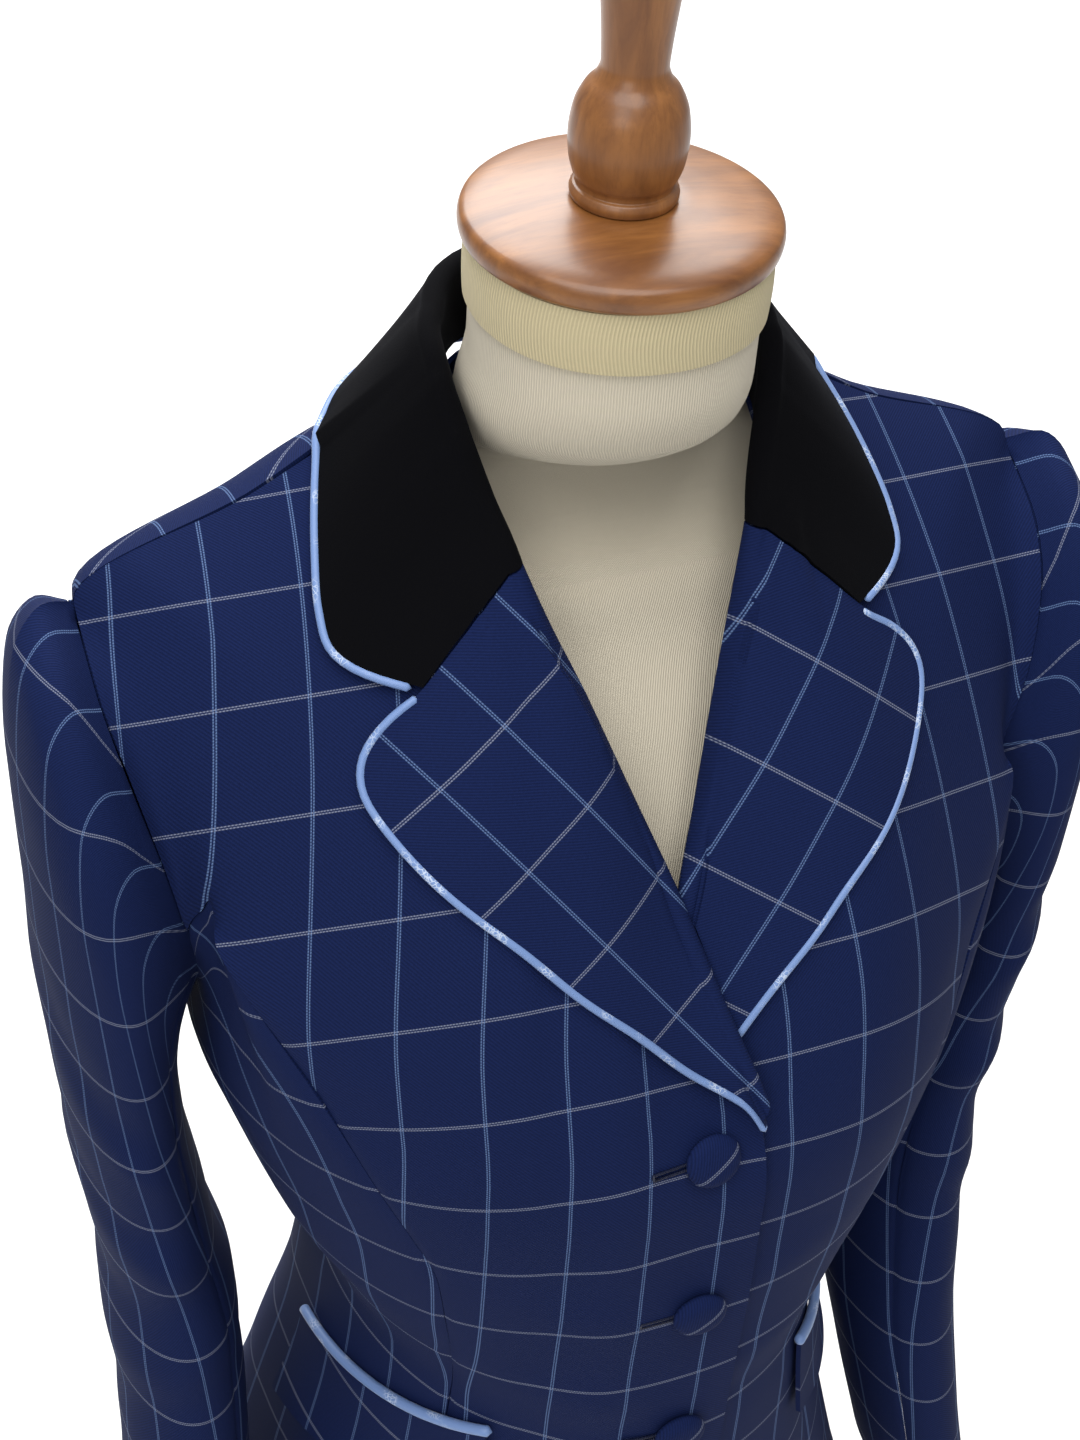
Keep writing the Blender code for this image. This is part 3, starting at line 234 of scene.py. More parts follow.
# Dress form inside the coat, from its lower end to the top of its neck
FORM = (  # drop, half width, front y, back y, side y
    (0.57, 0.14, -0.118, 0.11, 0.004),
    (0.465, 0.12, -0.119, 0.092, 0.004),
    (0.395, 0.104, -0.114, 0.078, 0.004),
    (0.34, 0.099, -0.112, 0.074, 0.004),
    (0.27, 0.124, -0.122, 0.08, 0.004),
    (0.205, 0.144, -0.126, 0.092, 0.006),
    (0.15, 0.147, -0.106, 0.097, 0.014),
    (0.1, 0.147, -0.076, 0.098, 0.022),
    (0.05, 0.151, -0.042, 0.09, 0.032),
    (0.018, 0.156, -0.018, 0.076, 0.038),
    (0.0, 0.156, -0.008, 0.068, 0.04),
    (-0.018, 0.139, 0.01, 0.064, 0.04),
    (-0.035, 0.101, 0.014, 0.06, 0.041),
    (-0.045, 0.073, 0.012, 0.06, 0.041),
    (-0.053, 0.0565, 0.002, 0.0595, 0.038),
    (-0.062, 0.0515, -0.018, 0.0595, 0.03),
    (-0.076, 0.0525, -0.032, 0.06, 0.02),
    (-0.095, 0.05, -0.0376, 0.062, 0.0124),
    (-0.135, 0.05, -0.0376, 0.0624, 0.0124),
)
FORM_ROUNDNESS = 2.1
FORM_SIDES = 96
NECK_Y = 0.0124  # the neck's axis
BAND_DROPS = (-0.112, -0.1348)
BAND_WALL = 0.0018
CAP_BASE_DROP = -0.1353
CAP_PROFILE = (  # radius, height above the cap's base
    (0.0, 0.0),
    (0.0528, 0.0),
    (0.0548, 0.0018),
    (0.0553, 0.005),
    (0.0546, 0.008),
    (0.0525, 0.0096),
    (0.042, 0.0118),
    (0.028, 0.0134),
    (0.0185, 0.014),
    (0.0, 0.014),
)
FINIAL_PROFILE = (  # radius, height above the cap
    (0.0, 0.0),
    (0.0178, 0.0),
    (0.0186, 0.0022),
    (0.0178, 0.0044),
    (0.0166, 0.0052),
    (0.0166, 0.0062),
    (0.018, 0.009),
    (0.0196, 0.015),
    (0.0202, 0.0225),
    (0.0192, 0.031),
    (0.016, 0.0385),
    (0.0124, 0.043),
    (0.0112, 0.047),
    (0.0115, 0.053),
    (0.0128, 0.068),
    (0.0146, 0.086),
    (0.0158, 0.103),
    (0.0158, 0.113),
    (0.014, 0.122),
    (0.009, 0.1275),
    (0.0, 0.1295),
)
POLE_RADIUS = 0.016
ROUND_SIDES = 128  # sides of the wide and of the slim turned pieces
SLIM_SIDES = 64
BASE_PROFILE = (  # radius, height above the floor
    (0.0, 0.0),
    (0.19, 0.0),
    (0.195, 0.004),
    (0.195, 0.016),
    (0.188, 0.023),
    (0.175, 0.026),
    (0.06, 0.033),
    (0.04, 0.042),
    (0.03, 0.056),
    (0.0, 0.056),
)

SHARP_ANGLE = math.radians(50)  # edges sharper than this stay sharp

# Creases of the cloth: soft ridges (+) and troughs (-) in each piece's own flat cloth, in metres
FRONT_CREASES = (  # across, up from the waist, angle, half length, half width, height
    (0.052, 0.03, 12.0, 0.05, 0.012, 0.0016),
    (0.06, -0.004, -8.0, 0.045, 0.011, -0.0014),
    (0.045, 0.088, 20.0, 0.045, 0.012, 0.001),
    (0.15, 0.235, 55.0, 0.05, 0.013, -0.0016),
    (0.165, 0.27, 62.0, 0.055, 0.012, 0.0014),
    (0.075, -0.12, 78.0, 0.09, 0.02, 0.002),
)
SIDE_CREASES = (
    (0.0, 0.02, 4.0, 0.06, 0.01, 0.002),
    (0.01, -0.006, -5.0, 0.055, 0.009, -0.002),
    (-0.02, 0.048, 9.0, 0.05, 0.012, -0.0014),
    (0.02, -0.16, 80.0, 0.11, 0.022, 0.003),
    (-0.03, -0.19, 96.0, 0.09, 0.02, -0.0022),
)
BACK_CREASES = (
    (0.06, 0.012, 6.0, 0.05, 0.011, 0.0018),
    (0.055, -0.016, -4.0, 0.045, 0.01, -0.0016),
    (0.07, 0.05, 14.0, 0.05, 0.013, -0.0012),
    (0.06, -0.19, 84.0, 0.11, 0.024, 0.003),
    (0.15, 0.26, 118.0, 0.06, 0.014, -0.0014),
)
SLEEVE_CREASES = (  # round from the outer side to the front, up from the cuff
    (0.04, 0.43, -32.0, 0.07, 0.016, -0.003),
    (0.055, 0.392, -24.0, 0.065, 0.014, 0.0026),
    (0.02, 0.352, -18.0, 0.075, 0.014, -0.0022),
    (0.06, 0.318, -10.0, 0.06, 0.013, 0.0026),
    (0.03, 0.282, 8.0, 0.07, 0.013, -0.0024),
    (0.055, 0.246, 16.0, 0.06, 0.014, 0.0024),
    (0.01, 0.205, 24.0, 0.075, 0.015, -0.002),
    (-0.05, 0.33, 14.0, 0.06, 0.015, 0.0022),
    (-0.06, 0.292, -6.0, 0.06, 0.014, -0.002),
    (-0.04, 0.42, 38.0, 0.06, 0.016, 0.0018),
    (0.02, 0.12, 80.0, 0.07, 0.016, 0.0016),
)
UNDER_SLEEVE_CREASES = (
    (0.0, 0.3, 6.0, 0.06, 0.013, -0.002),
    (0.01, 0.268, -8.0, 0.055, 0.012, 0.002),
    (-0.015, 0.235, 10.0, 0.06, 0.013, -0.0016),
    (0.0, 0.16, 84.0, 0.06, 0.016, 0.0012),
)
GRAIN_DROP = 0.13  # drop above which the check's upright lines lean in over the shoulder
FRONT_LEAN = 0.2  # how far they lean in for each step up, on the fronts and on the backs
BACK_LEAN = 0.06
FRONT_STRETCH = 1.15  # how much longer than straight the cloth counts across, on both
BACK_STRETCH = 2.0
CHEST_SLOPE = -0.05  # how fast the level lines fall towards the armhole
FRONT_TILT = 0.92  # how fast they fall as the chest, or the back, recedes
BACK_TILT = -0.3
CHEST_RISES = (1.0, 1.3)  # rises between which this sets in
FRONT_GUIDE = sum(FRONT_COLUMNS[:3]) - FRONT_COLUMNS[2] // 2  # column that leads the level lines
BACK_GUIDE = BACK_COLUMNS[0] + BACK_COLUMNS[1] // 2
CREASE_BEND = 2.0  # how much a crease bends along its length
CROWDING = 0.8  # how much closer the points of a sleeve lie beside its seams
LEAST_RISE = 1e-8  # least step up between two rows of points
ALLOWANCE = 0.006  # depth of the sleeve's edge that is turned in behind the armhole
ALLOWANCE_ROWS = 3
SEAM_DIP = 0.0009  # how far the cloth turns in at a sewn seam, and over what width
SEAM_WIDTH = 0.0024
GRAIN_BLEND = 0.012  # height over which the lines go over to their lean
LEAN_START = 0.03  # height over which the lean sets in
LEVELS = 240  # heights at which a panel is measured across

# Where the check's lines fall on each piece, as shifts of its flat cloth
FRONT_SHIFT = {-1: (-0.0073, -0.004), 1: (0.006, -0.004)}
SIDE_SHIFT = (0.006, -0.004)
BACK_SHIFT = (0.0155, -0.004)
SLEEVE_SHIFT = (0.012, 0.01)
LAPEL_SHIFT = (0.015, 0.008)
BUTTON_SHIFT = (0.0155, 0.002)
BUTTON_TILT = math.radians(38)  # direction of the check's line over a button
LAPEL_GRAIN = ((0.093, -0.052, 0.054), (0.029, -0.1085, 0.1195))  # two points of its edge, x y drop

SIDES = ((-1, "right"), (1, "left"))
WAIST_DROP = 0.34
PIPE_TUCK = 0.75  # share of the piping's radius that stands out past the leaf's edge
FORM_RINGS = 150
BAND_SWELL = 0.0005  # how far the neck band swells out between its edges
BUTTONHOLE_REACH = (-0.0245, 0.004)  # ends of a buttonhole, measured from its button's middle
BUTTONHOLE_HALF = 0.0011
BUTTONHOLE_THREAD = 0.0006
BUTTONHOLE_STEPS = 12  # points along each side of a buttonhole
POCKET_CHECKS = 40  # points that measure the cloth from the centre to a pocket
BAND_SHARES = np.linspace(0.1, 0.9, 9)  # places between the band's edges where its swell is given
CORD_ASIDE = (0.31, -0.52, 0.8)  # a direction that no cord follows
TUBE_SIDES = 14
LEAF_ROUNDS = 24  # times that a lapel's rows are evened out
CORNER_SHARES = (0.7, 0.82)  # shares of its length between which that ends, below the corner
LINE_ROUNDS = 3  # times that the piping's line is smoothed
PROFILE_STEPS = 6  # points added between two rows of a turned profile

# Shares and sizes of the finishes
DOT_SHIFT = 0.25  # how far each row of dots is moved along, in pitches
LINE_EDGE = (0.25, 0.75)  # shares of a line's half width between which a row of dots ends
DOT_LEAST = 0.3  # strength of a line between two dots
FIBRE_SHARE = 0.55  # share of loose fibres in the ground's shading, beside the twill
CLOUD_SHARE = 0.25  # how strongly the ground's shade wanders
LEVEL_SHARE = 0.48  # how strongly the check's lines cover the ground
UPRIGHT_SHARE = 0.5
LINE_RELIEF = 0.8  # height of the check's lines beside that of the twill
THREAD_PITCH = 0.0007  # distance between two turns of the thread
GRAIN_ALONG_X = (9.0, 70.0, 70.0)  # fineness of the wood's grain along x, y and z
GRAIN_ALONG_Z = (75.0, 75.0, 9.0)

# The camera: its place, its directions in degrees, and its lens
CAMERA_PLACE = (-0.2984, -0.6464, 1.9008)
CAMERA_YAW = -23.2
CAMERA_PITCH = 40.79
CAMERA_ROLL = 4.26
CAMERA_LENS = 60.5
FLOOR_HALF = 9.0
WORLD_STRENGTH = 0.34
LIGHTS = (  # name, place, aim, size, power
    ("overhead_softbox", (-0.5, -0.7, 3.7), (0.0, 0.0, 1.2), 2.4, 66.0),
    ("front_softbox", (-1.9, -2.2, 2.8), (0.0, 0.0, 1.2), 1.6, 20.0),
    ("backdrop_softbox", (0.6, 3.2, 3.6), (0.6, 2.4, 0.0), 3.0, 210.0),
)


def linear(code):
    """A colour in linear light from its sRGB hex code."""
    parts = [int(code[i:i + 2], 16) / 255 for i in (1, 3, 5)]
    return (*[c / 12.92 if c <= 0.04045 else ((c + 0.055) / 1.055) ** 2.4 for c in parts], 1.0)


def slopes(keys, values):
    """Slopes of a smooth curve through the keys that never swings past them."""
    step = np.diff(keys)
    rate = np.diff(values) / step
    result = np.zeros(len(keys))
    result[0] = rate[0]
    result[-1] = rate[-1]
    for i in range(1, len(keys) - 1):
        if rate[i - 1] * rate[i] > 0:
            before = 2 * step[i] + step[i - 1]
            after = step[i] + 2 * step[i - 1]
            result[i] = (before + after) / (before / rate[i - 1] + after / rate[i])
    return result


def through(table, column, at):
    """One column of a table, read smoothly at the given values of its first column."""
    rows = np.array(table, float)
    rows = rows[np.argsort(rows[:, 0])]
    keys = rows[:, 0]
    values = rows[:, column]
    slope = slopes(keys, values)
    at = np.clip(np.asarray(at, float), keys[0], keys[-1])
    i = np.clip(np.searchsorted(keys, at, side="right") - 1, 0, len(keys) - 2)
    step = keys[i + 1] - keys[i]
    t = (at - keys[i]) / step
    start = (1 + 2 * t) * (1 - t) ** 2 * values[i] + t * (1 - t) ** 2 * step * slope[i]
    end = t * t * (3 - 2 * t) * values[i + 1] + t * t * (t - 1) * step * slope[i + 1]
    return start + end


def smoothstep(low, high, at):
    t = np.clip((np.asarray(at, float) - low) / (high - low), 0.0, 1.0)
    return t * t * (3 - 2 * t)


def unit(vectors):
    return vectors / np.linalg.norm(vectors, axis=-1, keepdims=True)


def signed_power(base, power):
    return np.sign(base) * np.abs(base) ** power


def ring_point(turn, drop):
    """Points of the coat's whole rings, turn degrees round from the centre front."""
    turn = np.radians(turn)
    half = through(SECTIONS, 1, drop)
    depth = np.where(np.cos(turn) > 0, through(SECTIONS, 2, drop), through(SECTIONS, 3, drop))
    x = half * signed_power(np.sin(turn), 2 / ROUNDNESS)
    y = MIDDLE_Y - (depth + np.sign(np.cos(turn)) * MIDDLE_Y) * signed_power(np.cos(turn), 2 / ROUNDNESS)
    across = ((np.abs(x) - BUST_X) / BUST_REACH_X) ** 2
    along = ((drop - BUST_DROP) / BUST_REACH_Z) ** 2
    y = y - np.where(np.cos(turn) > 0, BUST_HEIGHT * np.exp(-across - along), 0.0)
    return np.stack([x, y, SHOULDER_Z - drop], axis=-1)


def top_point(turn):
    point = [through(TOP_EDGE, column, turn) for column in (1, 2, 3)]
    return np.stack([point[0], point[1], SHOULDER_Z - point[2]], axis=-1)


def body_point(turn, rise):
    """The coat's body on the +X side. Rise is 0 at the hem, 1 under the arm, 2 at the upper edge."""
    turn, rise = np.broadcast_arrays(np.asarray(turn, float), np.asarray(rise, float))
    drop = HEM_DROP + (RING_DROP - HEM_DROP) * np.minimum(rise, 1.0)
    low = ring_point(turn, drop)
    start = ring_point(turn, np.full(turn.shape, RING_DROP))
    below = ring_point(turn, np.full(turn.shape, RING_DROP + NUDGE_DROP))
    end = top_point(turn)
    span = np.linalg.norm(end - start, axis=-1, keepdims=True) * UPPER_PULL
    lean = np.stack([through(TOP_EDGE, column, turn) for column in (4, 5, 6)], axis=-1)
    first = unit(start - below) * span
    last = unit(lean) * span
    t = np.clip(rise - 1.0, 0.0, 1.0)[..., None]
    high = ((1 + 2 * t) * (1 - t) ** 2 * start + t * (1 - t) ** 2 * first
            + t * t * (3 - 2 * t) * end + t * t * (t - 1) * last)
    return np.where((rise > 1.0)[..., None], high, low)


def grid_normals(grid):
    return unit(np.cross(np.gradient(grid, axis=1), np.gradient(grid, axis=0)))


def body_normal(turn, rise):
    """Direction out of the body on the +X side, the same on both sides of every seam."""
    turn, rise = np.broadcast_arrays(np.asarray(turn, float), np.asarray(rise, float))
    across = body_point(turn + NUDGE_TURN, rise) - body_point(turn - NUDGE_TURN, rise)
    up = body_point(turn, rise + NUDGE_RISE) - body_point(turn, rise - NUDGE_RISE)
    normal = np.cross(across, up)
    normal[..., 0] = np.where(turn > BACK_TURN - TOUCH, 0.0, normal[..., 0])
    front, back = zip(NECK_TURNS, SHOULDER_TURNS)
    on_front = (turn >= front[0] - TOUCH) & (turn <= front[1] + TOUCH)
    on_back = (turn >= back[1] - TOUCH) & (turn <= back[0] + TOUCH)
    seam = (on_front | on_back) & (rise > 2.0 - TRIM_RISE - TOUCH)
    normal = np.where(seam[..., None], np.array(SHOULDER_SEAM_NORMAL), normal)
    return unit(normal)


def on_side(grid, side):
    """A grid made for the +X side, taken to the given side."""
    return grid * np.array([side, 1.0, 1.0])


def edge_turn(rise):
    """Turn of the front edge, which runs past the centre line."""
    drop = HEM_DROP + (RING_DROP - HEM_DROP) * np.minimum(rise, 1.0)
    share = through(FRONT_EDGE_X, 1, np.minimum(rise, 1.0)) / through(SECTIONS, 1, drop)
    return np.degrees(np.arcsin(signed_power(share, ROUNDNESS / 2)))


def rises():
    low = np.linspace(0.0, 1.0, ROWS_LOW + 1)
    high = np.linspace(1.0, 2.0 - TRIM_RISE, ROWS_HIGH + 1)
    return np.concatenate([low, high[1:]])


def shares(first, last, corners, counts):
    """Shares across a panel that put a column on each corner of its upper edge."""
    marks = [first, *corners, last]
    parts = [np.linspace(a, b, n + 1)[:-1] for a, b, n in zip(marks, marks[1:], counts)]
    return (np.concatenate([*parts, [last]]) - first) / (last - first)


def across_seam(grid, edge, beside):
    """Directions from an edge column into the panel, square to the edge."""
    along = unit(np.gradient(grid[:, edge], axis=0))
    inward = grid[:, beside] - grid[:, edge]
    return unit(inward - along * np.sum(inward * along, axis=-1, keepdims=True))


def panel_grid(left, right, share):
    """Outer points and directions of a panel between two lines given as turns by row."""
    rise = np.broadcast_to(rises()[:, None], (ROWS_LOW + ROWS_HIGH + 1, len(share)))
    turn = left[:, None] + (right - left)[:, None] * share[None, :]
    grid = body_point(turn, rise)
    normal = body_normal(turn, rise)
    into = [across_seam(grid, 0, 1), across_seam(grid, -1, -2)]
    grid[:, 0] += into[0] * SEAM_GAP / 2
    grid[:, -1] += into[1] * SEAM_GAP / 2
    return grid, normal


def settled(grid, normal, near):
    """A panel drawn smooth beside the armhole, where near is 1, between its own edges."""
    hold = (smoothstep(*SETTLE_RISES, rises())[:, None] * near[None, :])[..., None]
    inner = hold[1:-1, 1:-1]
    grid = grid.copy()
    for _ in range(SETTLE_ROUNDS):
        middle = (grid[:-2, 1:-1] + grid[2:, 1:-1] + grid[1:-1, :-2] + grid[1:-1, 2:]) / 4
        grid[1:-1, 1:-1] += inner * (middle - grid[1:-1, 1:-1])
    turned = normal * (1.0 - hold) + grid_normals(grid) * hold
    turned[:, [0, -1]] = normal[:, [0, -1]]
    turned[-1] = normal[-1]
    return grid, unit(turned)


def overlap_lift(side, x):
    """How far the right front lies out near the centre line, x being measured to its own side."""
    return OVERLAP_LIFT * (1.0 - smoothstep(*OVERLAP_FADE, x)) if side < 0 else np.zeros_like(x)


def front_panel(side):
    rise = rises()
    left = edge_turn(rise)
    right = through(PRINCESS_SEAM, 1, rise)
    corners = (GORGE_TURN, NECK_TURNS[0], SHOULDER_TURNS[0])
    share = shares(left[-1], right[-1], corners, FRONT_COLUMNS)
    grid, normal = panel_grid(left, right, share)
    turn = left[-1] + (right[-1] - left[-1]) * share
    near = smoothstep(SHOULDER_TURNS[0] - SETTLE_TURN, SHOULDER_TURNS[0], turn)
    grid, normal = settled(grid, normal, near)
    across = np.abs(grid[0] - grid[0, 0]).max(axis=1)
    corner = np.clip(1.0 - across / HEM_CORNER, 0.0, 1.0)
    raised = HEM_CORNER * (1.0 - np.sqrt(1.0 - corner ** 2))
    fade = np.clip(1.0 - rise / CORNER_RISE, 0.0, 1.0)[:, None]
    grid[:, :, 2] += raised[None, :] * fade
    grid += normal * overlap_lift(side, grid[:, :, 0])[:, :, None]
    return on_side(grid, side), on_side(normal, side)


def side_panel(side):
    rise = rises()
    left = through(PRINCESS_SEAM, 1, rise)
    right = through(SIDE_BACK_SEAM, 1, rise)
    grid, normal = panel_grid(left, right, np.linspace(0.0, 1.0, SIDE_COLUMNS + 1))
    return on_side(grid, side), on_side(normal, side)


def back_panel(side):
    rise = rises()
    left = through(SIDE_BACK_SEAM, 1, rise)
    right = np.full(len(rise), BACK_TURN)
    share = shares(left[-1], BACK_TURN, (SHOULDER_TURNS[1], NECK_TURNS[1]), BACK_COLUMNS)
    grid, normal = panel_grid(left, right, share)
    vent_rise = (HEM_DROP - VENT_DROP) / (HEM_DROP - RING_DROP)
    open_by = VENT_HALF_GAP * np.clip(1.0 - rise / vent_rise, 0.0, 1.0)
    grid[:, :, 0] += open_by[:, None] * share[None, :] ** VENT_POWER
    return on_side(grid, side), on_side(normal, side)


def edge_point(side, turn):
    """The body's upper edge on one side, where a leaf is sewn on, and how far it is lifted there."""
    turn = np.array(float(turn))
    point = top_point(turn)
    normal = body_normal(turn, np.array(2.0 - TRIM_RISE))
    lift = normal * overlap_lift(side, point[..., 0])[..., None]
    return on_side(point + lift, side), on_side(lift, side)


def sleeve_ring(around, along):
    """Points of a sleeve on the +X side, degrees round from its outer side."""
    around, along = np.broadcast_arrays(np.asarray(around, float), np.asarray(along, float))
    read = [through(SLEEVE, column, along) for column in range(1, 7)]
    outer_x, outer_drop, inner_x, inner_drop, front_y, back_y = read
    middle_y = (front_y + back_y) / 2
    outer = np.stack([outer_x, middle_y, SHOULDER_Z - outer_drop], axis=-1)
    inner = np.stack([inner_x, middle_y, SHOULDER_Z - inner_drop], axis=-1)
    middle = (outer + inner) / 2
    half = np.stack([np.zeros_like(front_y), (front_y - back_y) / 2, np.zeros_like(front_y)], axis=-1)
    angle = np.radians(around)[..., None]
    return middle + (outer - inner) / 2 * np.cos(angle) + half * np.sin(angle)


def sleeve_point(around, along):
    around, along = np.broadcast_arrays(np.asarray(around, float), np.asarray(along, float))
    turn = np.interp(np.mod(around, 360.0), *np.array(ARMHOLE_TURN).T)
    armhole = top_point(turn) + np.array([ARMHOLE_GAP, 0.0, 0.0])
    fade = np.clip(1.0 - along / ARMHOLE_FADE, 0.0, 1.0)[..., None] ** 2
    return sleeve_ring(around, along) + (armhole - sleeve_ring(around, np.zeros_like(along))) * fade


def sleeve_spoke(around, along):
    """Directions out of a sleeve, from the middle of each of its rings."""
    ring = [sleeve_point(turn, along) for turn in np.linspace(0.0, 360.0, RING_CHECKS, endpoint=False)]
    return unit(sleeve_point(around, along) - np.mean(ring, axis=0))


def cloth_below(*sides):
    """Search tree of the coat's own body on the given sides, for what lies on it."""
    points = []
    faces = []
    panels = [panel(side) for side in sides for panel in (front_panel, side_panel, back_panel)]
    for grid, _ in panels:
        rows, columns = grid.shape[:2]
        first = len(points)
        points.extend(Vector(p) for p in grid.reshape(-1, 3))
        faces.extend((quads(rows, columns) + first).tolist())
    return BVHTree.FromPolygons(points, faces)


def outward(tree, point):
    """Nearest point of the cloth, and its direction away from the body's axis."""
    spot, normal, _, _ = tree.find_nearest(Vector(point))
    away = Vector((spot.x, spot.y - NECK_Y, UPWARD))
    if normal.dot(away) < 0:
        normal = -normal
    return np.array(spot), np.array(normal)


def lifted(tree, point, height):
    """The point, moved out until it lies at least this high over the cloth."""
    spot, normal = outward(tree, point)
    short = height - float(np.dot(point - spot, normal))
    return point + normal * max(short, 0.0)


def leaf_row(tree, root, crest, edge, stand_steps, clear):
    """Outer and inner points of one section of a turned leaf: stand, fold and fall to the edge."""
    up = unit(crest - root)
    fold = min(max(FOLD_SHARE * float(np.linalg.norm(edge - crest)), FOLD_LEAST), FOLD)
    stand = max(float(np.linalg.norm(crest - root)) - fold, 0.0)
    edge = lifted(tree, edge, LEAF + clear)
    out = edge - root - up * float(np.dot(edge - root, up))
    _, normal = outward(tree, root)
    out = unit(out + normal * float(np.linalg.norm(out)))
    out = unit(out - up * float(np.dot(out, up)))
    middle = root + up * (stand + ROOT_GAP) + out * (fold - CLOTH)
    outer = []
    inner = []
    for i in range(stand_steps):
        point = root + up * (ROOT_GAP + stand * i / stand_steps) - out * CLOTH
        outer.append(point)
        inner.append(point + out * LEAF)
    for i in range(FOLD_STEPS + 1):
        angle = math.pi * i / FOLD_STEPS
        spoke = up * math.sin(angle) - out * math.cos(angle)
        outer.append(middle + spoke * fold)
        inner.append(middle + spoke * (fold - LEAF))
    start = outer[-1]
    for i in range(1, FALL_STEPS + 1):
        share = i / FALL_STEPS
        height = LEAF + clear + LEAF_ROLL * (1.0 - share) ** 2
        point = lifted(tree, start + (edge - start) * share, height)
        _, normal = outward(tree, point)
        outer.append(point)
        inner.append(point - unit(out * (1.0 - share) + normal * share) * LEAF)
    return np.array([outer, inner])


def read_point(table, columns, at):
    x, y, drop = (float(through(table, column, at)) for column in columns)
    return np.array([x, y, SHOULDER_Z - drop])


def leaf_rows(side, table, places, stand_steps, clear):
    """Outer and inner points of a turned leaf, by row: turn of its seam, places of its crest and edge."""
    tree = cloth_below(side)
    rows = []
    for turn, crest_at, edge_at in places:
        root, lift = edge_point(side, turn)
        crest = on_side(read_point(table, (1, 2, 3), crest_at), side) + lift
        edge = on_side(read_point(table, (4, 5, 6), edge_at), side)
        rows.append(leaf_row(tree, root, crest, edge, stand_steps, clear))
    return np.stack(rows, axis=1)


def lapel_grid(side):
    first = LAPEL[0][0]
    crest_from = first if side < 0 else LEFT_LAPEL_CREST_TURN
    edge_from = first if side < 0 else LEFT_LAPEL_EDGE_TURN
    share = np.linspace(0.0, 1.0, LAPEL_ROWS + 1)
    crest_turns = crest_from + (GORGE_TURN - crest_from) * share
    edge_turns = edge_from + (GORGE_TURN - edge_from) * share
    outer, inner = leaf_rows(side, LAPEL, zip(crest_turns, crest_turns, edge_turns), 0, LEAF_CLEAR)
    clear = unit(outer[-1] - outer[-2]) * GORGE_GAP / 2
    outer[-1] -= clear
    inner[-1] -= clear
    return outer, inner


def collar_half(side):
    along = np.linspace(0.0, 1.0, COLLAR_ROWS + 1)
    turns = np.interp(along, *np.array(NECKLINE_TURN).T)
    both = leaf_rows(side, COLLAR, zip(turns, along, along), STAND_STEPS, COLLAR_CLEAR)
    both[:, 0] += unit(both[0, 1] - both[0, 0]) * GORGE_GAP
    return both


def collar_grid():
    right = collar_half(-1)
    left = collar_half(1)
    middle = (right[:, -1:] + left[:, -1:]) / 2
    return np.concatenate([right[:, :-1], middle, left[:, -2::-1]], axis=1)


def form_ring(drop, grow=0.0):
    half, front, back, middle = (float(through(FORM, column, drop)) for column in range(1, 5))
    angle = np.radians(np.arange(FORM_SIDES) * 360.0 / FORM_SIDES + BACK_TURN)
    power = 2 / FORM_ROUNDNESS
    x = (half + grow) * signed_power(np.sin(angle), power)
    ahead = np.where(np.cos(angle) > 0, middle - front + grow, back - middle + grow)
    y = middle - ahead * signed_power(np.cos(angle), power)
    return np.stack([x, y, np.full(FORM_SIDES, SHOULDER_Z - drop)], axis=-1)


def crowded(count):
    """Steps from 0 to 1, drawn closer together at both ends."""
    t = np.linspace(0.0, 1.0, count + 1)
    return t - CROWDING * np.sin(2 * math.pi * t) / (2 * math.pi)


def creased(across, up, table):
    """Heights of the soft ridges and troughs at points of a piece's flat cloth."""
    total = np.zeros_like(across)
    for at_across, at_up, angle, length, width, height in table:
        c, s = math.cos(math.radians(angle)), math.sin(math.radians(angle))
        a = (across - at_across) * c + (up - at_up) * s
        b = (up - at_up) * c - (across - at_across) * s
        total += height * np.exp(-(a / length) ** 2 - ((b - CREASE_BEND * a * a) / width) ** 2)
    return total


def row_arcs(grid):
    step = np.linalg.norm(np.diff(grid, axis=1), axis=-1)
    return np.concatenate([np.zeros((len(grid), 1)), np.cumsum(step, axis=1)], axis=1)


def column_arcs(grid):
    return row_arcs(grid.transpose(1, 0, 2)).T


def rising(grid):
    """Heights of a panel's points, made to rise all the way up each column."""
    return np.maximum.accumulate(grid[:, :, 2] + np.arange(len(grid))[:, None] * LEAST_RISE, axis=0)


def level_arcs(grid, most):
    """Lengths across a panel at each point's own height, each at most that much longer than straight."""
    columns = grid.shape[1]
    height = rising(grid)
    level = np.linspace(height.min(), height.max(), LEVELS)
    x, y = (np.stack([np.interp(level, height[:, j], grid[:, j, k]) for j in range(columns)], axis=1)
            for k in (0, 1))
    inside = (level[:, None] >= height[0]) & (level[:, None] <= height[-1])
    sideways = np.diff(x, axis=1)
    step = np.minimum(np.hypot(sideways, np.diff(y, axis=1)), most * np.abs(sideways))
    step = step * (inside[:, 1:] & inside[:, :-1])
    first = np.argmax(inside, axis=1)
    start = x[np.arange(LEVELS), first]
    arcs = np.concatenate([np.zeros((LEVELS, 1)), np.cumsum(step, axis=1)], axis=1) + start[:, None]
    return np.stack([np.interp(height[:, j], level, arcs[:, j]) for j in range(columns)], axis=1)


def seam_dips(grid, *edges):
    """How far each point turns in towards the seams at the given edges, 0 the first and -1 the last."""
    arcs = row_arcs(grid)
    total = np.zeros(grid.shape[:2])
    for edge in edges:
        away = np.abs(arcs - arcs[:, edge][:, None])
        total -= SEAM_DIP * np.exp(-(away / SEAM_WIDTH) ** 2)
    return total


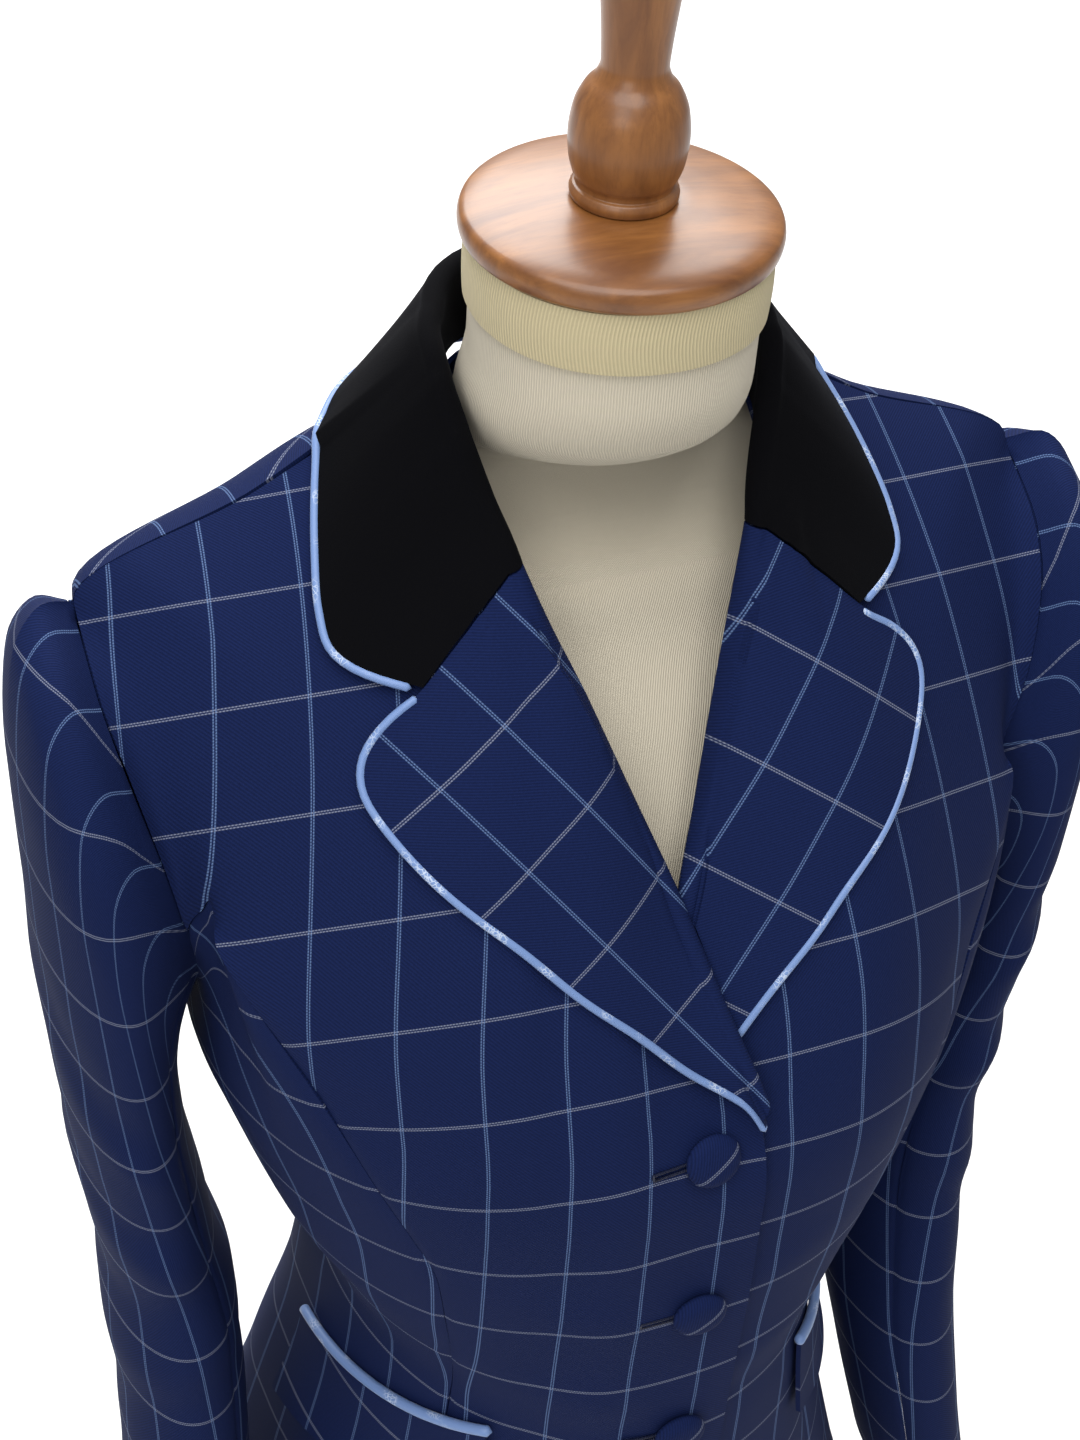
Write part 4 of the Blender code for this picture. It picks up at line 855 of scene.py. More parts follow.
def draped(grid, normal, flat, table, *edges):
    """Points of a piece with its creases, turned in towards the seams at the given edges."""
    height = creased(flat[..., 0], flat[..., 1], table) + seam_dips(grid, *edges)
    return grid + normal * height[..., None]


def up_from_waist(grid):
    arcs = column_arcs(grid)
    waist = (HEM_DROP - WAIST_DROP) / (HEM_DROP - RING_DROP)
    return arcs - arcs[np.argmin(np.abs(rises() - waist))]


def over_shoulder(grid, across, lean):
    """Lengths across a panel, with the lines above the chest led straight over the shoulder."""
    level = SHOULDER_Z - GRAIN_DROP
    height = rising(grid)
    reach = [j for j in range(grid.shape[1]) if height[-1, j] > level]
    x = np.array([np.interp(level, height[:, j], grid[:, j, 0]) for j in reach])
    known = np.array([np.interp(level, height[:, j], across[:, j]) for j in reach])
    order = np.argsort(x)
    x, known = x[order], known[order]
    above = np.maximum(grid[:, :, 2] - level, 0.0)
    wanted = grid[:, :, 0] + lean * (np.hypot(above, LEAN_START) - LEAN_START)
    led = np.interp(wanted, x, known) + np.minimum(wanted - x[0], 0.0) + np.maximum(wanted - x[-1], 0.0)
    share = smoothstep(0.0, GRAIN_BLEND, above)
    return across * (1.0 - share) + led * share


def over_chest(grid, up, column, tilt):
    """Lengths up a panel, with the level lines above the underarm led straight on from one column."""
    place = grid.copy()
    place[:, :, 2] += tilt * grid[:, :, 1]
    height = rising(place[:, [column]])[:, 0]
    beside = grid[:, :, 0] - np.interp(place[:, :, 2], height, grid[:, column, 0])
    at = place[:, :, 2] + CHEST_SLOPE * beside
    led = np.interp(at, height, up[:, column]) + np.maximum(at - height[-1], 0.0)
    share = smoothstep(*CHEST_RISES, rises())[:, None]
    return up * (1.0 - share) + led * share


def front_cloth(side):
    """Outer points, directions and flat cloth of a front."""
    grid, normal = front_panel(side)
    own = on_side(grid, side)
    across = over_shoulder(own, level_arcs(own, FRONT_STRETCH), FRONT_LEAN)
    up = over_chest(own, up_from_waist(own), FRONT_GUIDE, FRONT_TILT)
    flat = np.stack([across, up], axis=-1)
    return draped(grid, normal, flat, FRONT_CREASES, -1), normal, flat - np.array(FRONT_SHIFT[side])


def side_cloth(side):
    grid, normal = side_panel(side)
    arcs = row_arcs(grid)
    flat = np.stack([arcs - arcs[:, SIDE_COLUMNS // 2][:, None], up_from_waist(grid)], axis=-1)
    return draped(grid, normal, flat, SIDE_CREASES, 0, -1), normal, flat - np.array(SIDE_SHIFT)


def back_cloth(side):
    grid, normal = back_panel(side)
    own = on_side(grid, side)
    across = over_shoulder(own, level_arcs(own[:, ::-1], BACK_STRETCH)[:, ::-1], BACK_LEAN)
    up = over_chest(own, up_from_waist(own), BACK_GUIDE, BACK_TILT)
    flat = np.stack([across, up], axis=-1)
    return draped(grid, normal, flat, BACK_CREASES, 0, -1), normal, flat - np.array(BACK_SHIFT)


def sleeve_cloth(side, marks, table, middle):
    """Outer points, directions and flat cloth of one half of a sleeve."""
    along = np.linspace(0.0, 1.0, SLEEVE_ROWS + 1)[:, None]
    parts = [a + (b - a) * crowded(SLEEVE_COLUMNS) for a, b in zip(marks, marks[1:])]
    around = np.unique(np.concatenate(parts))[None, :]
    around, along = np.broadcast_arrays(around, along)
    grid = sleeve_point(around, along)
    normal = sleeve_spoke(around, along)
    turn = np.interp(np.mod(around[0], 360.0), *np.array(ARMHOLE_TURN).T)
    inward = body_normal(turn, 2.0 - TRIM_RISE)
    tucked = [grid[0] - inward * ALLOWANCE * i / ALLOWANCE_ROWS for i in range(ALLOWANCE_ROWS, 0, -1)]
    grid = np.concatenate([np.array(tucked), grid])
    normal = np.concatenate([np.repeat(normal[:1], ALLOWANCE_ROWS, axis=0), normal])
    around = np.concatenate([np.repeat(around[:1], ALLOWANCE_ROWS, axis=0), around])
    arcs = row_arcs(grid)
    zero = np.array([np.interp(middle, a, r) for a, r in zip(around, arcs)])
    up = column_arcs(grid[::-1])[::-1]
    flat = np.stack([arcs - zero[:, None], up], axis=-1)
    grid = draped(grid, normal, flat, table, 0, -1)
    return on_side(grid, side), on_side(normal, side), flat - np.array(SLEEVE_SHIFT)


def lapel_flat(side, outer):
    """Flat cloth of a lapel, with the check's upright lines along its edge."""
    ends = [np.array([x * side, y, SHOULDER_Z - drop]) for x, y, drop in LAPEL_GRAIN]
    fall = outer[:, FOLD_STEPS:].reshape(-1, 3)
    square = np.linalg.svd(fall - fall.mean(axis=0), full_matrices=False)[2][2]
    up = ends[0] - ends[1]
    up = unit(up - square * np.dot(up, square))
    across = np.cross(up, square)
    across *= np.sign(across[0] * side)
    local = outer - ends[0]
    return np.stack([local @ across, local @ up], axis=-1) - np.array(LAPEL_SHIFT)


def edge_line(grid, radius, tree):
    """Middle line of the piping along a leaf's outer edge, kept off the cloth below."""
    edge = grid[:, -1]
    normal = np.array([outward(tree, point)[1] for point in edge])
    step = unit(np.diff(edge, axis=0))
    before = np.concatenate([step[:1], step])
    after = np.concatenate([step, step[-1:]])
    off = unit(np.cross(unit(before + after), normal))
    off *= np.sign(np.sum(off * (edge - grid[:, -FALL_STEPS - 1]), axis=1, keepdims=True))
    line = edge + off * (radius * PIPE_TUCK) - normal * (LEAF / 2 - PIPE_PROUD)
    line = np.array([lifted(tree, point, radius + SEAM_GAP) for point in line])
    return smoothed(line)


def evened(grid):
    """A leaf with its rows evened out along its length, up to where its corner begins."""
    grid = grid.copy()
    share = 1.0 - smoothstep(*CORNER_SHARES, np.linspace(0.0, 1.0, len(grid)))[1:-1, None, None]
    for _ in range(LEAF_ROUNDS):
        grid[1:-1] += share * (grid[:-2] - 2 * grid[1:-1] + grid[2:]) / 4
    return grid


def smoothed(line):
    for _ in range(LINE_ROUNDS):
        line[1:-1] = (line[:-2] + 2 * line[1:-1] + line[2:]) / 4
    return line


def new_object(name, mesh, material, stands_for):
    """The finished piece: it rides on the part's one body and stands for its solid."""
    thing = bpy.data.objects.new(name, mesh)
    mesh.materials.append(material)
    bpy.context.scene.collection.objects.link(thing)
    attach(thing, "root")
    if stands_for:
        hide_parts(stands_for)
    return thing


def mesh_of(name, points, faces, flat):
    """A smooth mesh whose flat cloth is kept as its UV map, in metres."""
    mesh = bpy.data.meshes.new(name)
    mesh.from_pydata(points.tolist(), [], faces)
    layer = mesh.uv_layers.new(name="cloth")
    corner = np.empty(len(mesh.loops), int)
    mesh.loops.foreach_get("vertex_index", corner)
    layer.data.foreach_set("uv", np.asarray(flat, float)[corner].ravel())
    mesh.shade_smooth()
    mesh.set_sharp_from_angle(angle=SHARP_ANGLE)
    return mesh


def quads(rows, columns, around=False):
    index = np.arange(rows * columns).reshape(rows, columns)
    if around:
        index = np.concatenate([index, index[:, :1]], axis=1)
    corners = [index[:-1, :-1], index[:-1, 1:], index[1:, 1:], index[1:, :-1]]
    return np.stack(corners, axis=-1).reshape(-1, 4)


def end_fans(count, sides):
    """Faces that close a row of rings with one point at each end, the two last of the mesh."""
    first = count * sides
    faces = []
    for k in range(sides):
        after = (k + 1) % sides
        faces.append((first, after, k))
        faces.append((first + 1, first - sides + k, first - sides + after))
    return faces


def shell_mesh(name, outer, inner, flat):
    """A cloth wall: its outer points, its inner points and the rim between them."""
    rows, columns = outer.shape[:2]
    count = rows * columns
    face = quads(rows, columns)
    index = np.arange(count).reshape(rows, columns)
    rim = np.concatenate([index[0], index[1:, -1], index[-1, -2::-1], index[-2:0:-1, 0]])
    after = np.roll(rim, -1)
    edge = np.stack([after, rim, rim + count, after + count], axis=1)
    faces = np.concatenate([face, face[:, ::-1] + count, edge])
    middle = face[len(face) // 2]
    a, b, _, d = outer.reshape(-1, 3)[middle]
    if np.dot(np.cross(b - a, d - a), (outer - inner).reshape(-1, 3)[middle[0]]) < 0:
        faces = faces[:, ::-1]
    points = np.concatenate([outer.reshape(-1, 3), inner.reshape(-1, 3)])
    flat = flat.reshape(-1, 2)
    return mesh_of(name, points, faces.tolist(), np.concatenate([flat, flat]))


def tube_mesh(name, line, radius, closed=False):
    """A round cord along a line, with its length and girth as its flat cloth."""
    count = len(line)
    if closed:
        ahead = np.roll(line, -1, axis=0) - np.roll(line, 1, axis=0)
    else:
        ahead = np.gradient(line, axis=0)
    ahead = unit(ahead)
    side = unit(np.cross(ahead, np.array(CORD_ASIDE)))
    up = np.cross(side, ahead)
    angle = 2 * math.pi * np.arange(TUBE_SIDES) / TUBE_SIDES
    wheel = angle[None, :, None]
    ring = (side[:, None] * np.cos(wheel) + up[:, None] * np.sin(wheel)) * radius
    points = (line[:, None] + ring).reshape(-1, 3)
    flat = np.stack(np.meshgrid(radius * angle, lengths(line)), axis=-1).reshape(-1, 2)
    faces = quads(count, TUBE_SIDES, around=True)
    if closed:
        k = np.arange(TUBE_SIDES)
        last = (count - 1) * TUBE_SIDES
        after = (k + 1) % TUBE_SIDES
        faces = np.concatenate([faces, np.stack([last + k, last + after, after, k], axis=1)]).tolist()
    else:
        points = np.concatenate([points, line[:1] - ahead[:1] * radius, line[-1:] + ahead[-1:] * radius])
        flat = np.concatenate([flat, flat[:1], flat[-1:]])
        faces = faces.tolist() + end_fans(count, TUBE_SIDES)
    return mesh_of(name, points, faces, flat)


def lengths(line):
    """Length along a line up to each of its points."""
    return np.concatenate([[0.0], np.cumsum(np.linalg.norm(np.diff(line, axis=0), axis=1))])


def fine_profile(profile):
    """The rows of a turned profile, with rounded points between them."""
    rows = np.array(profile)
    arc = lengths(rows)
    table = np.column_stack([arc, rows])
    parts = [np.linspace(a, b, PROFILE_STEPS + 1)[:-1] for a, b in zip(arc, arc[1:])]
    at = np.concatenate(parts + [arc[-1:]])
    fine = np.column_stack([through(table, 1, at), through(table, 2, at)])
    fine[:, 0] = np.maximum(fine[:, 0], 0.0)
    return fine


def turned_mesh(name, profile, centre, axis, sides, tilt=0.0):
    """A piece turned about an axis from (radius, height) rows that start and end on the axis."""
    fine = fine_profile(profile)[1:-1]
    angle = 2 * math.pi * np.arange(sides) / sides
    ring = np.stack([np.cos(angle), np.sin(angle)], axis=-1)
    rings = [np.concatenate([radius * ring, np.full((sides, 1), height)], axis=1)
             for radius, height in fine]
    ends = np.array([[0.0, 0.0, profile[0][1]], [0.0, 0.0, profile[-1][1]]])
    points = np.concatenate([*rings, ends])
    c, s = math.cos(tilt), math.sin(tilt)
    flat = np.stack([points[:, 0] * c + points[:, 1] * s, points[:, 1] * c - points[:, 0] * s], axis=-1)
    faces = quads(len(fine), sides, around=True).tolist() + end_fans(len(fine), sides)
    turn = Vector((0.0, 0.0, 1.0)).rotation_difference(Vector(axis)).to_matrix()
    points = points @ np.array(turn).T + np.array(centre)
    return mesh_of(name, points, faces, flat + np.array(BUTTON_SHIFT))


def fill(tree, target, inputs):
    """Links or sets inputs of a shader node."""
    for key, value in inputs.items():
        if isinstance(value, bpy.types.NodeSocket):
            tree.links.new(value, target.inputs[key])
        else:
            target.inputs[key].default_value = value


def node(tree, kind, inputs, output=0, **settings):
    """Adds a shader node with its settings and links, and gives one of its outputs."""
    made = tree.nodes.new("ShaderNode" + kind)
    for key, value in settings.items():
        setattr(made, key, value)
    fill(tree, made, inputs)
    return made.outputs[output]


def surface(name):
    """A new material, its one shader, and what adds nodes and inputs to its tree."""
    material = bpy.data.materials.new(name)
    material.use_nodes = True
    tree = material.node_tree
    return material, partial(node, tree), partial(fill, tree, tree.nodes["Principled BSDF"])


def windowpane_wool(sizes, colours):
    """Woven wool twill: fine raised diagonals that take the light softly, painted shade between them, and
    thin check lines.
    """
    material, add, finish = surface("navy_wool_twill_woven_windowpane")
    flat = add("UVMap", {}, uv_map="cloth")
    across, up = add("SeparateXYZ", {0: flat}).node.outputs[:2]

    def line(at, along, pitch):
        """One set of check lines: two rows of dots, side by side."""
        cell = add("Math", {0: at, 1: pitch}, operation="DIVIDE")
        cell = add("Math", {0: cell, 1: 0.5}, operation="ADD")
        cell = add("Math", {0: cell}, operation="FRACT")
        off = add("Math", {0: cell, 1: 0.5}, operation="SUBTRACT")
        off = add("Math", {0: off, 1: pitch}, operation="MULTIPLY")
        row = add("Math", {0: off}, operation="ABSOLUTE")
        row = add("Math", {0: row, 1: sizes.line_half}, operation="SUBTRACT")
        row = add("Math", {0: row}, operation="ABSOLUTE")
        near, far = (sizes.line_half * share for share in LINE_EDGE)
        strength = add("MapRange", {0: row, 1: near, 2: far, 3: 1.0, 4: 0.0},
                       interpolation_type="SMOOTHSTEP")
        shift = add("Math", {0: off}, operation="SIGN")
        shift = add("Math", {0: shift, 1: DOT_SHIFT}, operation="MULTIPLY")
        turn = add("Math", {0: along, 1: sizes.dot_pitch}, operation="DIVIDE")
        turn = add("Math", {0: turn, 1: shift}, operation="ADD")
        turn = add("Math", {0: turn, 1: 2 * math.pi}, operation="MULTIPLY")
        wave = add("Math", {0: turn}, operation="SINE")
        dot = add("MapRange", {0: wave, 1: -1.0, 2: 1.0, 3: DOT_LEAST, 4: 1.0})
        return add("Math", {0: strength, 1: dot}, operation="MULTIPLY")

    upright = line(across, up, sizes.check_width)
    level = line(up, across, sizes.check_height)
    slant = add("Math", {0: up, 1: across}, operation="SUBTRACT")
    turns = 2 * math.pi / (sizes.twill_pitch * math.sqrt(2))
    slant = add("Math", {0: slant, 1: turns}, operation="MULTIPLY")
    wave = add("Math", {0: slant}, operation="SINE")
    twill = add("MapRange", {0: wave, 1: -1.0, 2: 1.0, 3: 0.0, 4: 1.0})
    fibre = add("TexNoise", {"Vector": flat, "Scale": 900.0, "Detail": 3.0, "Roughness": 0.6})
    cloud = add("TexNoise", {"Vector": flat, "Scale": 14.0, "Detail": 2.0})
    weave = add("Math", {0: twill, 1: 1.0 - FIBRE_SHARE}, operation="MULTIPLY")
    fuzz = add("Math", {0: fibre, 1: FIBRE_SHARE}, operation="MULTIPLY")
    mixed = add("Math", {0: weave, 1: fuzz}, operation="ADD")
    # The dark navy is painted shade in the twill's grooves between the raised diagonals, mixed with the
    # fibres' own uneven tone.
    ground = add("Mix", {0: mixed, 6: colours.dark_navy_and_twill_shade, 7: colours.navy}, 2, data_type="RGBA")
    layers = ((cloud, CLOUD_SHARE, colours.dark_navy_and_twill_shade), (level, LEVEL_SHARE, colours.line_level),
              (upright, UPRIGHT_SHARE, colours.line_upright))
    for mask, share, colour in layers:
        amount = add("Math", {0: mask, 1: share}, operation="MULTIPLY")
        ground = add("Mix", {0: amount, 6: ground, 7: colour}, 2, data_type="RGBA")
    lines = add("Math", {0: upright, 1: level}, operation="ADD")
    lines = add("Math", {0: lines, 1: LINE_RELIEF}, operation="MULTIPLY")
    relief = add("Math", {0: twill, 1: lines}, operation="ADD")
    bump = add("Bump", {"Strength": 0.35, "Distance": 0.0002, "Height": relief})
    finish({"Base Color": ground, "Roughness": 0.85, "IOR": 1.5, "Specular IOR Level": 0.12,
            "Normal": bump, "Sheen Weight": 0.03, "Sheen Roughness": 0.45, "Sheen Tint": colours.navy})
    return material


def cut_velvet(colours):
    """Cut pile of black velvet: almost no light straight on, and a faint glow at grazing angles."""
    material, add, finish = surface("black_velvet_cut_pile")
    flat = add("UVMap", {}, uv_map="cloth")
    pile = add("TexNoise", {"Vector": flat, "Scale": 1500.0, "Detail": 2.0})
    bump = add("Bump", {"Strength": 0.5, "Distance": 0.0003, "Height": pile})
    finish({"Base Color": colours.velvet, "Roughness": 0.95, "IOR": 1.45, "Specular IOR Level": 0.1,
            "Sheen Weight": 0.15, "Sheen Roughness": 0.35, "Sheen Tint": colours.velvet_glow,
            "Normal": bump})
    return material


def satin_piping(colours):
    """Satin weave round a cord: a soft shine along it, with patches of small pale woven flecks."""
    material, add, finish = surface("light_blue_satin_woven_flecks")
    flat = add("UVMap", {}, uv_map="cloth")
    patch = add("TexNoise", {"Vector": flat, "Scale": 55.0, "Detail": 1.0})
    where = add("MapRange", {0: patch, 1: 0.54, 2: 0.60, 3: 0.0, 4: 0.8})
    fleck = add("TexVoronoi", {"Vector": flat, "Scale": 620.0}, feature="DISTANCE_TO_EDGE")
    thin = add("MapRange", {0: fleck, 1: 0.05, 2: 0.12, 3: 1.0, 4: 0.0})
    both = add("Math", {0: where, 1: thin}, operation="MULTIPLY")
    ground = add("Mix", {0: both, 6: colours.piping, 7: colours.piping_fleck}, 2, data_type="RGBA")
    bump = add("Bump", {"Strength": 0.4, "Distance": 0.0002, "Height": both})
    finish({"Base Color": ground, "Roughness": 0.42, "IOR": 1.5, "Specular IOR Level": 0.4,
            "Normal": bump, "Sheen Weight": 0.15, "Sheen Roughness": 0.3})
    return material


def knitted_cotton(name, colour, ribs):
    """Knitted cotton: matt, with fine upright ribs that shade each other."""
    material, add, finish = surface(name)
    across = add("SeparateXYZ", {0: add("UVMap", {}, uv_map="cloth")})
    turn = add("Math", {0: across, 1: 2 * math.pi / ribs}, operation="MULTIPLY")
    wave = add("Math", {0: turn}, operation="SINE")
    shade = add("MapRange", {0: wave, 1: -1.0, 2: 1.0, 3: 0.78, 4: 1.0})
    tint = add("Mix", {0: 1.0, 6: colour, 7: shade}, 2, data_type="RGBA", blend_type="MULTIPLY")
    bump = add("Bump", {"Strength": 0.5, "Distance": 0.0003, "Height": wave})
    finish({"Base Color": tint, "Roughness": 0.9, "IOR": 1.5, "Specular IOR Level": 0.2, "Normal": bump,
            "Sheen Weight": 0.1})
    return material


def varnished_wood(name, colours, grain):
    """Turned hardwood under clear varnish: long darker grain below a smooth gloss."""
    material, add, finish = surface(name)
    drawn = add("Mapping", {"Vector": add("TexCoord", {}, "Object"), "Scale": grain})
    broad = add("TexNoise", {"Vector": drawn, "Scale": 1.0, "Detail": 5.0, "Roughness": 0.62,
                             "Distortion": 0.6})
    fine = add("TexNoise", {"Vector": drawn, "Scale": 6.0, "Detail": 4.0, "Roughness": 0.7})
    share = add("MapRange", {0: broad, 1: 0.35, 2: 0.68, 3: 0.0, 4: 1.0})
    ground = add("Mix", {0: share, 6: colours.wood, 7: colours.wood_dark}, 2, data_type="RGBA")
    streak = add("MapRange", {0: fine, 1: 0.5, 2: 0.75, 3: 0.0, 4: 0.55})
    ground = add("Mix", {0: streak, 6: ground, 7: colours.wood_dark}, 2, data_type="RGBA")
    bump = add("Bump", {"Strength": 0.15, "Distance": 0.0003, "Height": fine})
    finish({"Base Color": ground, "Roughness": 0.42, "IOR": 1.5, "Normal": bump,
            "Coat Weight": 0.35, "Coat Roughness": 0.22, "Coat IOR": 1.5})
    return material


def spun_thread(colours):
    """Twisted silk thread: dark, with a slight shine on each stitch."""
    material, add, finish = surface("navy_silk_thread_twisted")
    up = add("SeparateXYZ", {0: add("UVMap", {}, uv_map="cloth")}, 1)
    turn = add("Math", {0: up, 1: 2 * math.pi / THREAD_PITCH}, operation="MULTIPLY")
    wave = add("Math", {0: turn}, operation="SINE")
    bump = add("Bump", {"Strength": 0.8, "Distance": 0.0003, "Height": wave})
    finish({"Base Color": colours.dark_navy_and_twill_shade, "Roughness": 0.5, "IOR": 1.5, "Normal": bump})
    return material


FINISHES = {}


def finish_of(name, build):
    """The material of that name, built once and then shared."""
    if name not in FINISHES:
        FINISHES[name] = build()
    return FINISHES[name]


def wool(context):
    scene = context.scene
    return finish_of("wool", lambda: windowpane_wool(scene.coat_sizes, scene.coat_colours))


def add_cloth(piece, outer, inner, flat, material):
    """A cloth wall as its own object."""
    name = f"{piece}_cloth"
    return new_object(name, shell_mesh(name, outer, inner, flat), material, piece)


def add_piping(context, piece, line, radius):
    """A satin cord as its own object."""
    satin = finish_of("piping", lambda: satin_piping(context.scene.coat_colours))
    name = f"{piece}_cord"
    return new_object(name, tube_mesh(name, line, radius), satin, piece)


def colour_property(name, description, code):
    return bpy.props.FloatVectorProperty(name=name, description=description, size=4, subtype="COLOR",
                                         min=0.0, max=1.0, default=linear(code))


def length_property(name, description, default):
    return bpy.props.FloatProperty(name=name, description=description, default=default, min=0.0,
                                   precision=5, unit="LENGTH", subtype="DISTANCE")


class CoatSizes(bpy.types.PropertyGroup):
    """Sizes of the weave."""
    check_width: length_property("Check width", "Distance between two upright lines", 0.031)
    check_height: length_property("Check height", "Distance between two level lines", 0.042)
    line_half: length_property("Line half width", "From a line's middle to its rows of dots", 0.00045)
    dot_pitch: length_property("Dot pitch", "Distance between two dots, drawn a little coarser", 0.0011)
    twill_pitch: length_property("Twill pitch", "Distance between two diagonals of the twill", 0.00107)
    rib_pitch: length_property("Rib pitch", "Distance between two ribs of the neck band", 0.0013)
    jersey_pitch: length_property("Jersey pitch", "Distance between two ribs, drawn coarser", 0.0010)


class CoatColours(bpy.types.PropertyGroup):
    """Colours of the finishes."""
    navy: colour_property("Navy", "Wool where the light reaches it", "#172759")
    # Dark navy: the thread's own colour, and the painted shade in the wool's twill grooves.
    dark_navy_and_twill_shade: colour_property("Dark navy and twill shade", "Wool between its twill lines", "#0a1434")
    line_upright: colour_property("Upright lines", "Light blue yarn of the check", "#86a6da")
    line_level: colour_property("Level lines", "Pale yarn of the check", "#b4bcd2")
    velvet: colour_property("Velvet", "Pile of the collar", "#060609")
    velvet_glow: colour_property("Velvet glow", "Pile seen along the surface", "#3a3d48")
    piping: colour_property("Piping", "Satin of the piping", "#7793c6")
    piping_fleck: colour_property("Piping flecks", "Pale woven flecks", "#cddaee")
    jersey: colour_property("Jersey", "Cotton cover of the form", "#e2d8c2")
    band: colour_property("Band", "Ribbed band under the cap", "#d8caa2")
    wood: colour_property("Wood", "Light grain", "#9b6532")
    wood_dark: colour_property("Dark wood", "Dark grain", "#6b3f1c")
    floor: colour_property("Floor", "Pale studio floor", "#fafafa")
    light: colour_property("Light", "Neutral studio light", "#ffffff")


class COAT_OT_body(bpy.types.Operator):
    """Builds the fronts, side panels and backs"""
    bl_idname = "coat.body"
    bl_label = "Build body panels"

    def execute(self, context):
        panels = {"front": front_cloth, "side_panel": side_cloth, "back": back_cloth}
        for side, word in SIDES:
            for part, panel in panels.items():
                outer, normal, flat = panel(side)
                thing = add_cloth(f"{part}_{word}", outer, outer - normal * CLOTH, flat, wool(context))
        return {"FINISHED"}


class COAT_OT_sleeves(bpy.types.Operator):
    """Builds the upper and under halves of both sleeves"""
    bl_idname = "coat.sleeves"
    bl_label = "Build sleeves"

    def execute(self, context):
        front, back = SLEEVE_SEAMS
        top = (back - 360.0 + SEAM_ANGLE, 0.0, front - SEAM_ANGLE)
        under = (front + SEAM_ANGLE, back - SEAM_ANGLE)
        halves = {
            "top_sleeve": (top, SLEEVE_CREASES, 0.0),
            "under_sleeve": (under, UNDER_SLEEVE_CREASES, (front + back) / 2),
        }
        for side, word in SIDES:
            for part, half in halves.items():
                outer, normal, flat = sleeve_cloth(side, *half)
                thing = add_cloth(f"{part}_{word}", outer, outer - normal * CLOTH, flat, wool(context))
        return {"FINISHED"}


class COAT_OT_lapels(bpy.types.Operator):
    """Builds both lapels with their piping"""
    bl_idname = "coat.lapels"
    bl_label = "Build lapels"

    def execute(self, context):
        for side, word in SIDES:
            outer, inner = (evened(grid) for grid in lapel_grid(side))
            flat = lapel_flat(side, outer)
            thing = add_cloth(f"lapel_{word}", outer, inner, flat, wool(context))
            line = edge_line(outer, PIPE_RADIUS, cloth_below(side))
            trim = add_piping(context, f"lapel_piping_{word}", line[:-1], PIPE_RADIUS)
            arcs = np.stack([row_arcs(outer), column_arcs(outer)], axis=-1)
        return {"FINISHED"}


class COAT_OT_collar(bpy.types.Operator):
    """Builds the velvet collar with its piping"""
    bl_idname = "coat.collar"
    bl_label = "Build collar"

    def execute(self, context):
        outer, inner = collar_grid()
        flat = np.stack([row_arcs(outer), column_arcs(outer)], axis=-1)
        velvet = finish_of("velvet", lambda: cut_velvet(context.scene.coat_colours))
        thing = add_cloth("collar", outer, inner, flat, velvet)
        line = edge_line(outer, PIPE_RADIUS, cloth_below(-1, 1))
        trim = add_piping(context, "collar_piping", line[1:-1], PIPE_RADIUS)
        return {"FINISHED"}


class COAT_OT_pockets(bpy.types.Operator):
    """Builds both pocket flaps with their piped upper edge"""
    bl_idname = "coat.pockets"
    bl_label = "Build pockets"

    def execute(self, context):
        share = np.linspace(0.0, 1.0, FLAP_COLUMNS + 1)
        turn = POCKET_FRONT[0] + (POCKET_SIDE[0] - POCKET_FRONT[0]) * share
        drop = POCKET_FRONT[1] + (POCKET_SIDE[1] - POCKET_FRONT[1]) * share
        ahead = np.linspace(0.0, POCKET_FRONT[0], POCKET_CHECKS)
        start = float(lengths(ring_point(ahead, np.full(POCKET_CHECKS, POCKET_FRONT[1])))[-1])
        for side, word in SIDES:
            tree = cloth_below(side)
            rows = []
            for down in np.linspace(0.0, 1.0, FLAP_ROWS + 1):
                row = on_side(ring_point(turn, drop + FLAP_DEPTH * down), side)
                height = LEAF + LEAF_CLEAR + FLAP_STAND_OFF * down
                rows.append([lifted(tree, point, height) for point in row])
            outer = np.array(rows)
            normal = grid_normals(outer)
            normal *= -np.sign(normal[0, 0, 1])
            up = WAIST_DROP - (SHOULDER_Z - outer[:, :, 2])
            flat = np.stack([start + row_arcs(outer), up], axis=-1) - np.array(FRONT_SHIFT[side])
            thing = add_cloth(f"pocket_flap_{word}", outer, outer - normal * LEAF, flat, wool(context))
            above = on_side(ring_point(turn, drop - POCKET_PIPE_RADIUS - SEAM_GAP), side)
            line = np.array([lifted(tree, point, POCKET_PIPE_RADIUS + SEAM_GAP) for point in above])
            trim = add_piping(context, f"pocket_piping_{word}", smoothed(line), POCKET_PIPE_RADIUS)
        return {"FINISHED"}


def seen_from_front(tree, x, z):
    """The cloth's outermost point at a place of the front, and its direction."""
    spot, normal, _, _ = tree.ray_cast(Vector((x, -1.0, z)), Vector((0.0, 1.0, 0.0)))
    if spot is None:
        raise RuntimeError("no cloth at this place of the front")
    return np.array(spot), np.array(-normal if normal.y > 0 else normal)


def buttonhole_line(tree, z):
    """Middle line of the stitching round the buttonhole at this height."""
    first, last = BUTTONHOLE_REACH
    path = [(first, -1), (first, 1), (last, 1), (last, -1)]
    line = []
    for (x0, side0), (x1, side1) in zip(path, path[1:] + path[:1]):
        for t in np.linspace(0.0, 1.0, BUTTONHOLE_STEPS, endpoint=False):
            above = (side0 + (side1 - side0) * t) * BUTTONHOLE_HALF
            place, out = seen_from_front(tree, BUTTON_X + (x0 + (x1 - x0) * t), z + above)
            line.append(place + out * BUTTONHOLE_THREAD)
    return np.array(line)


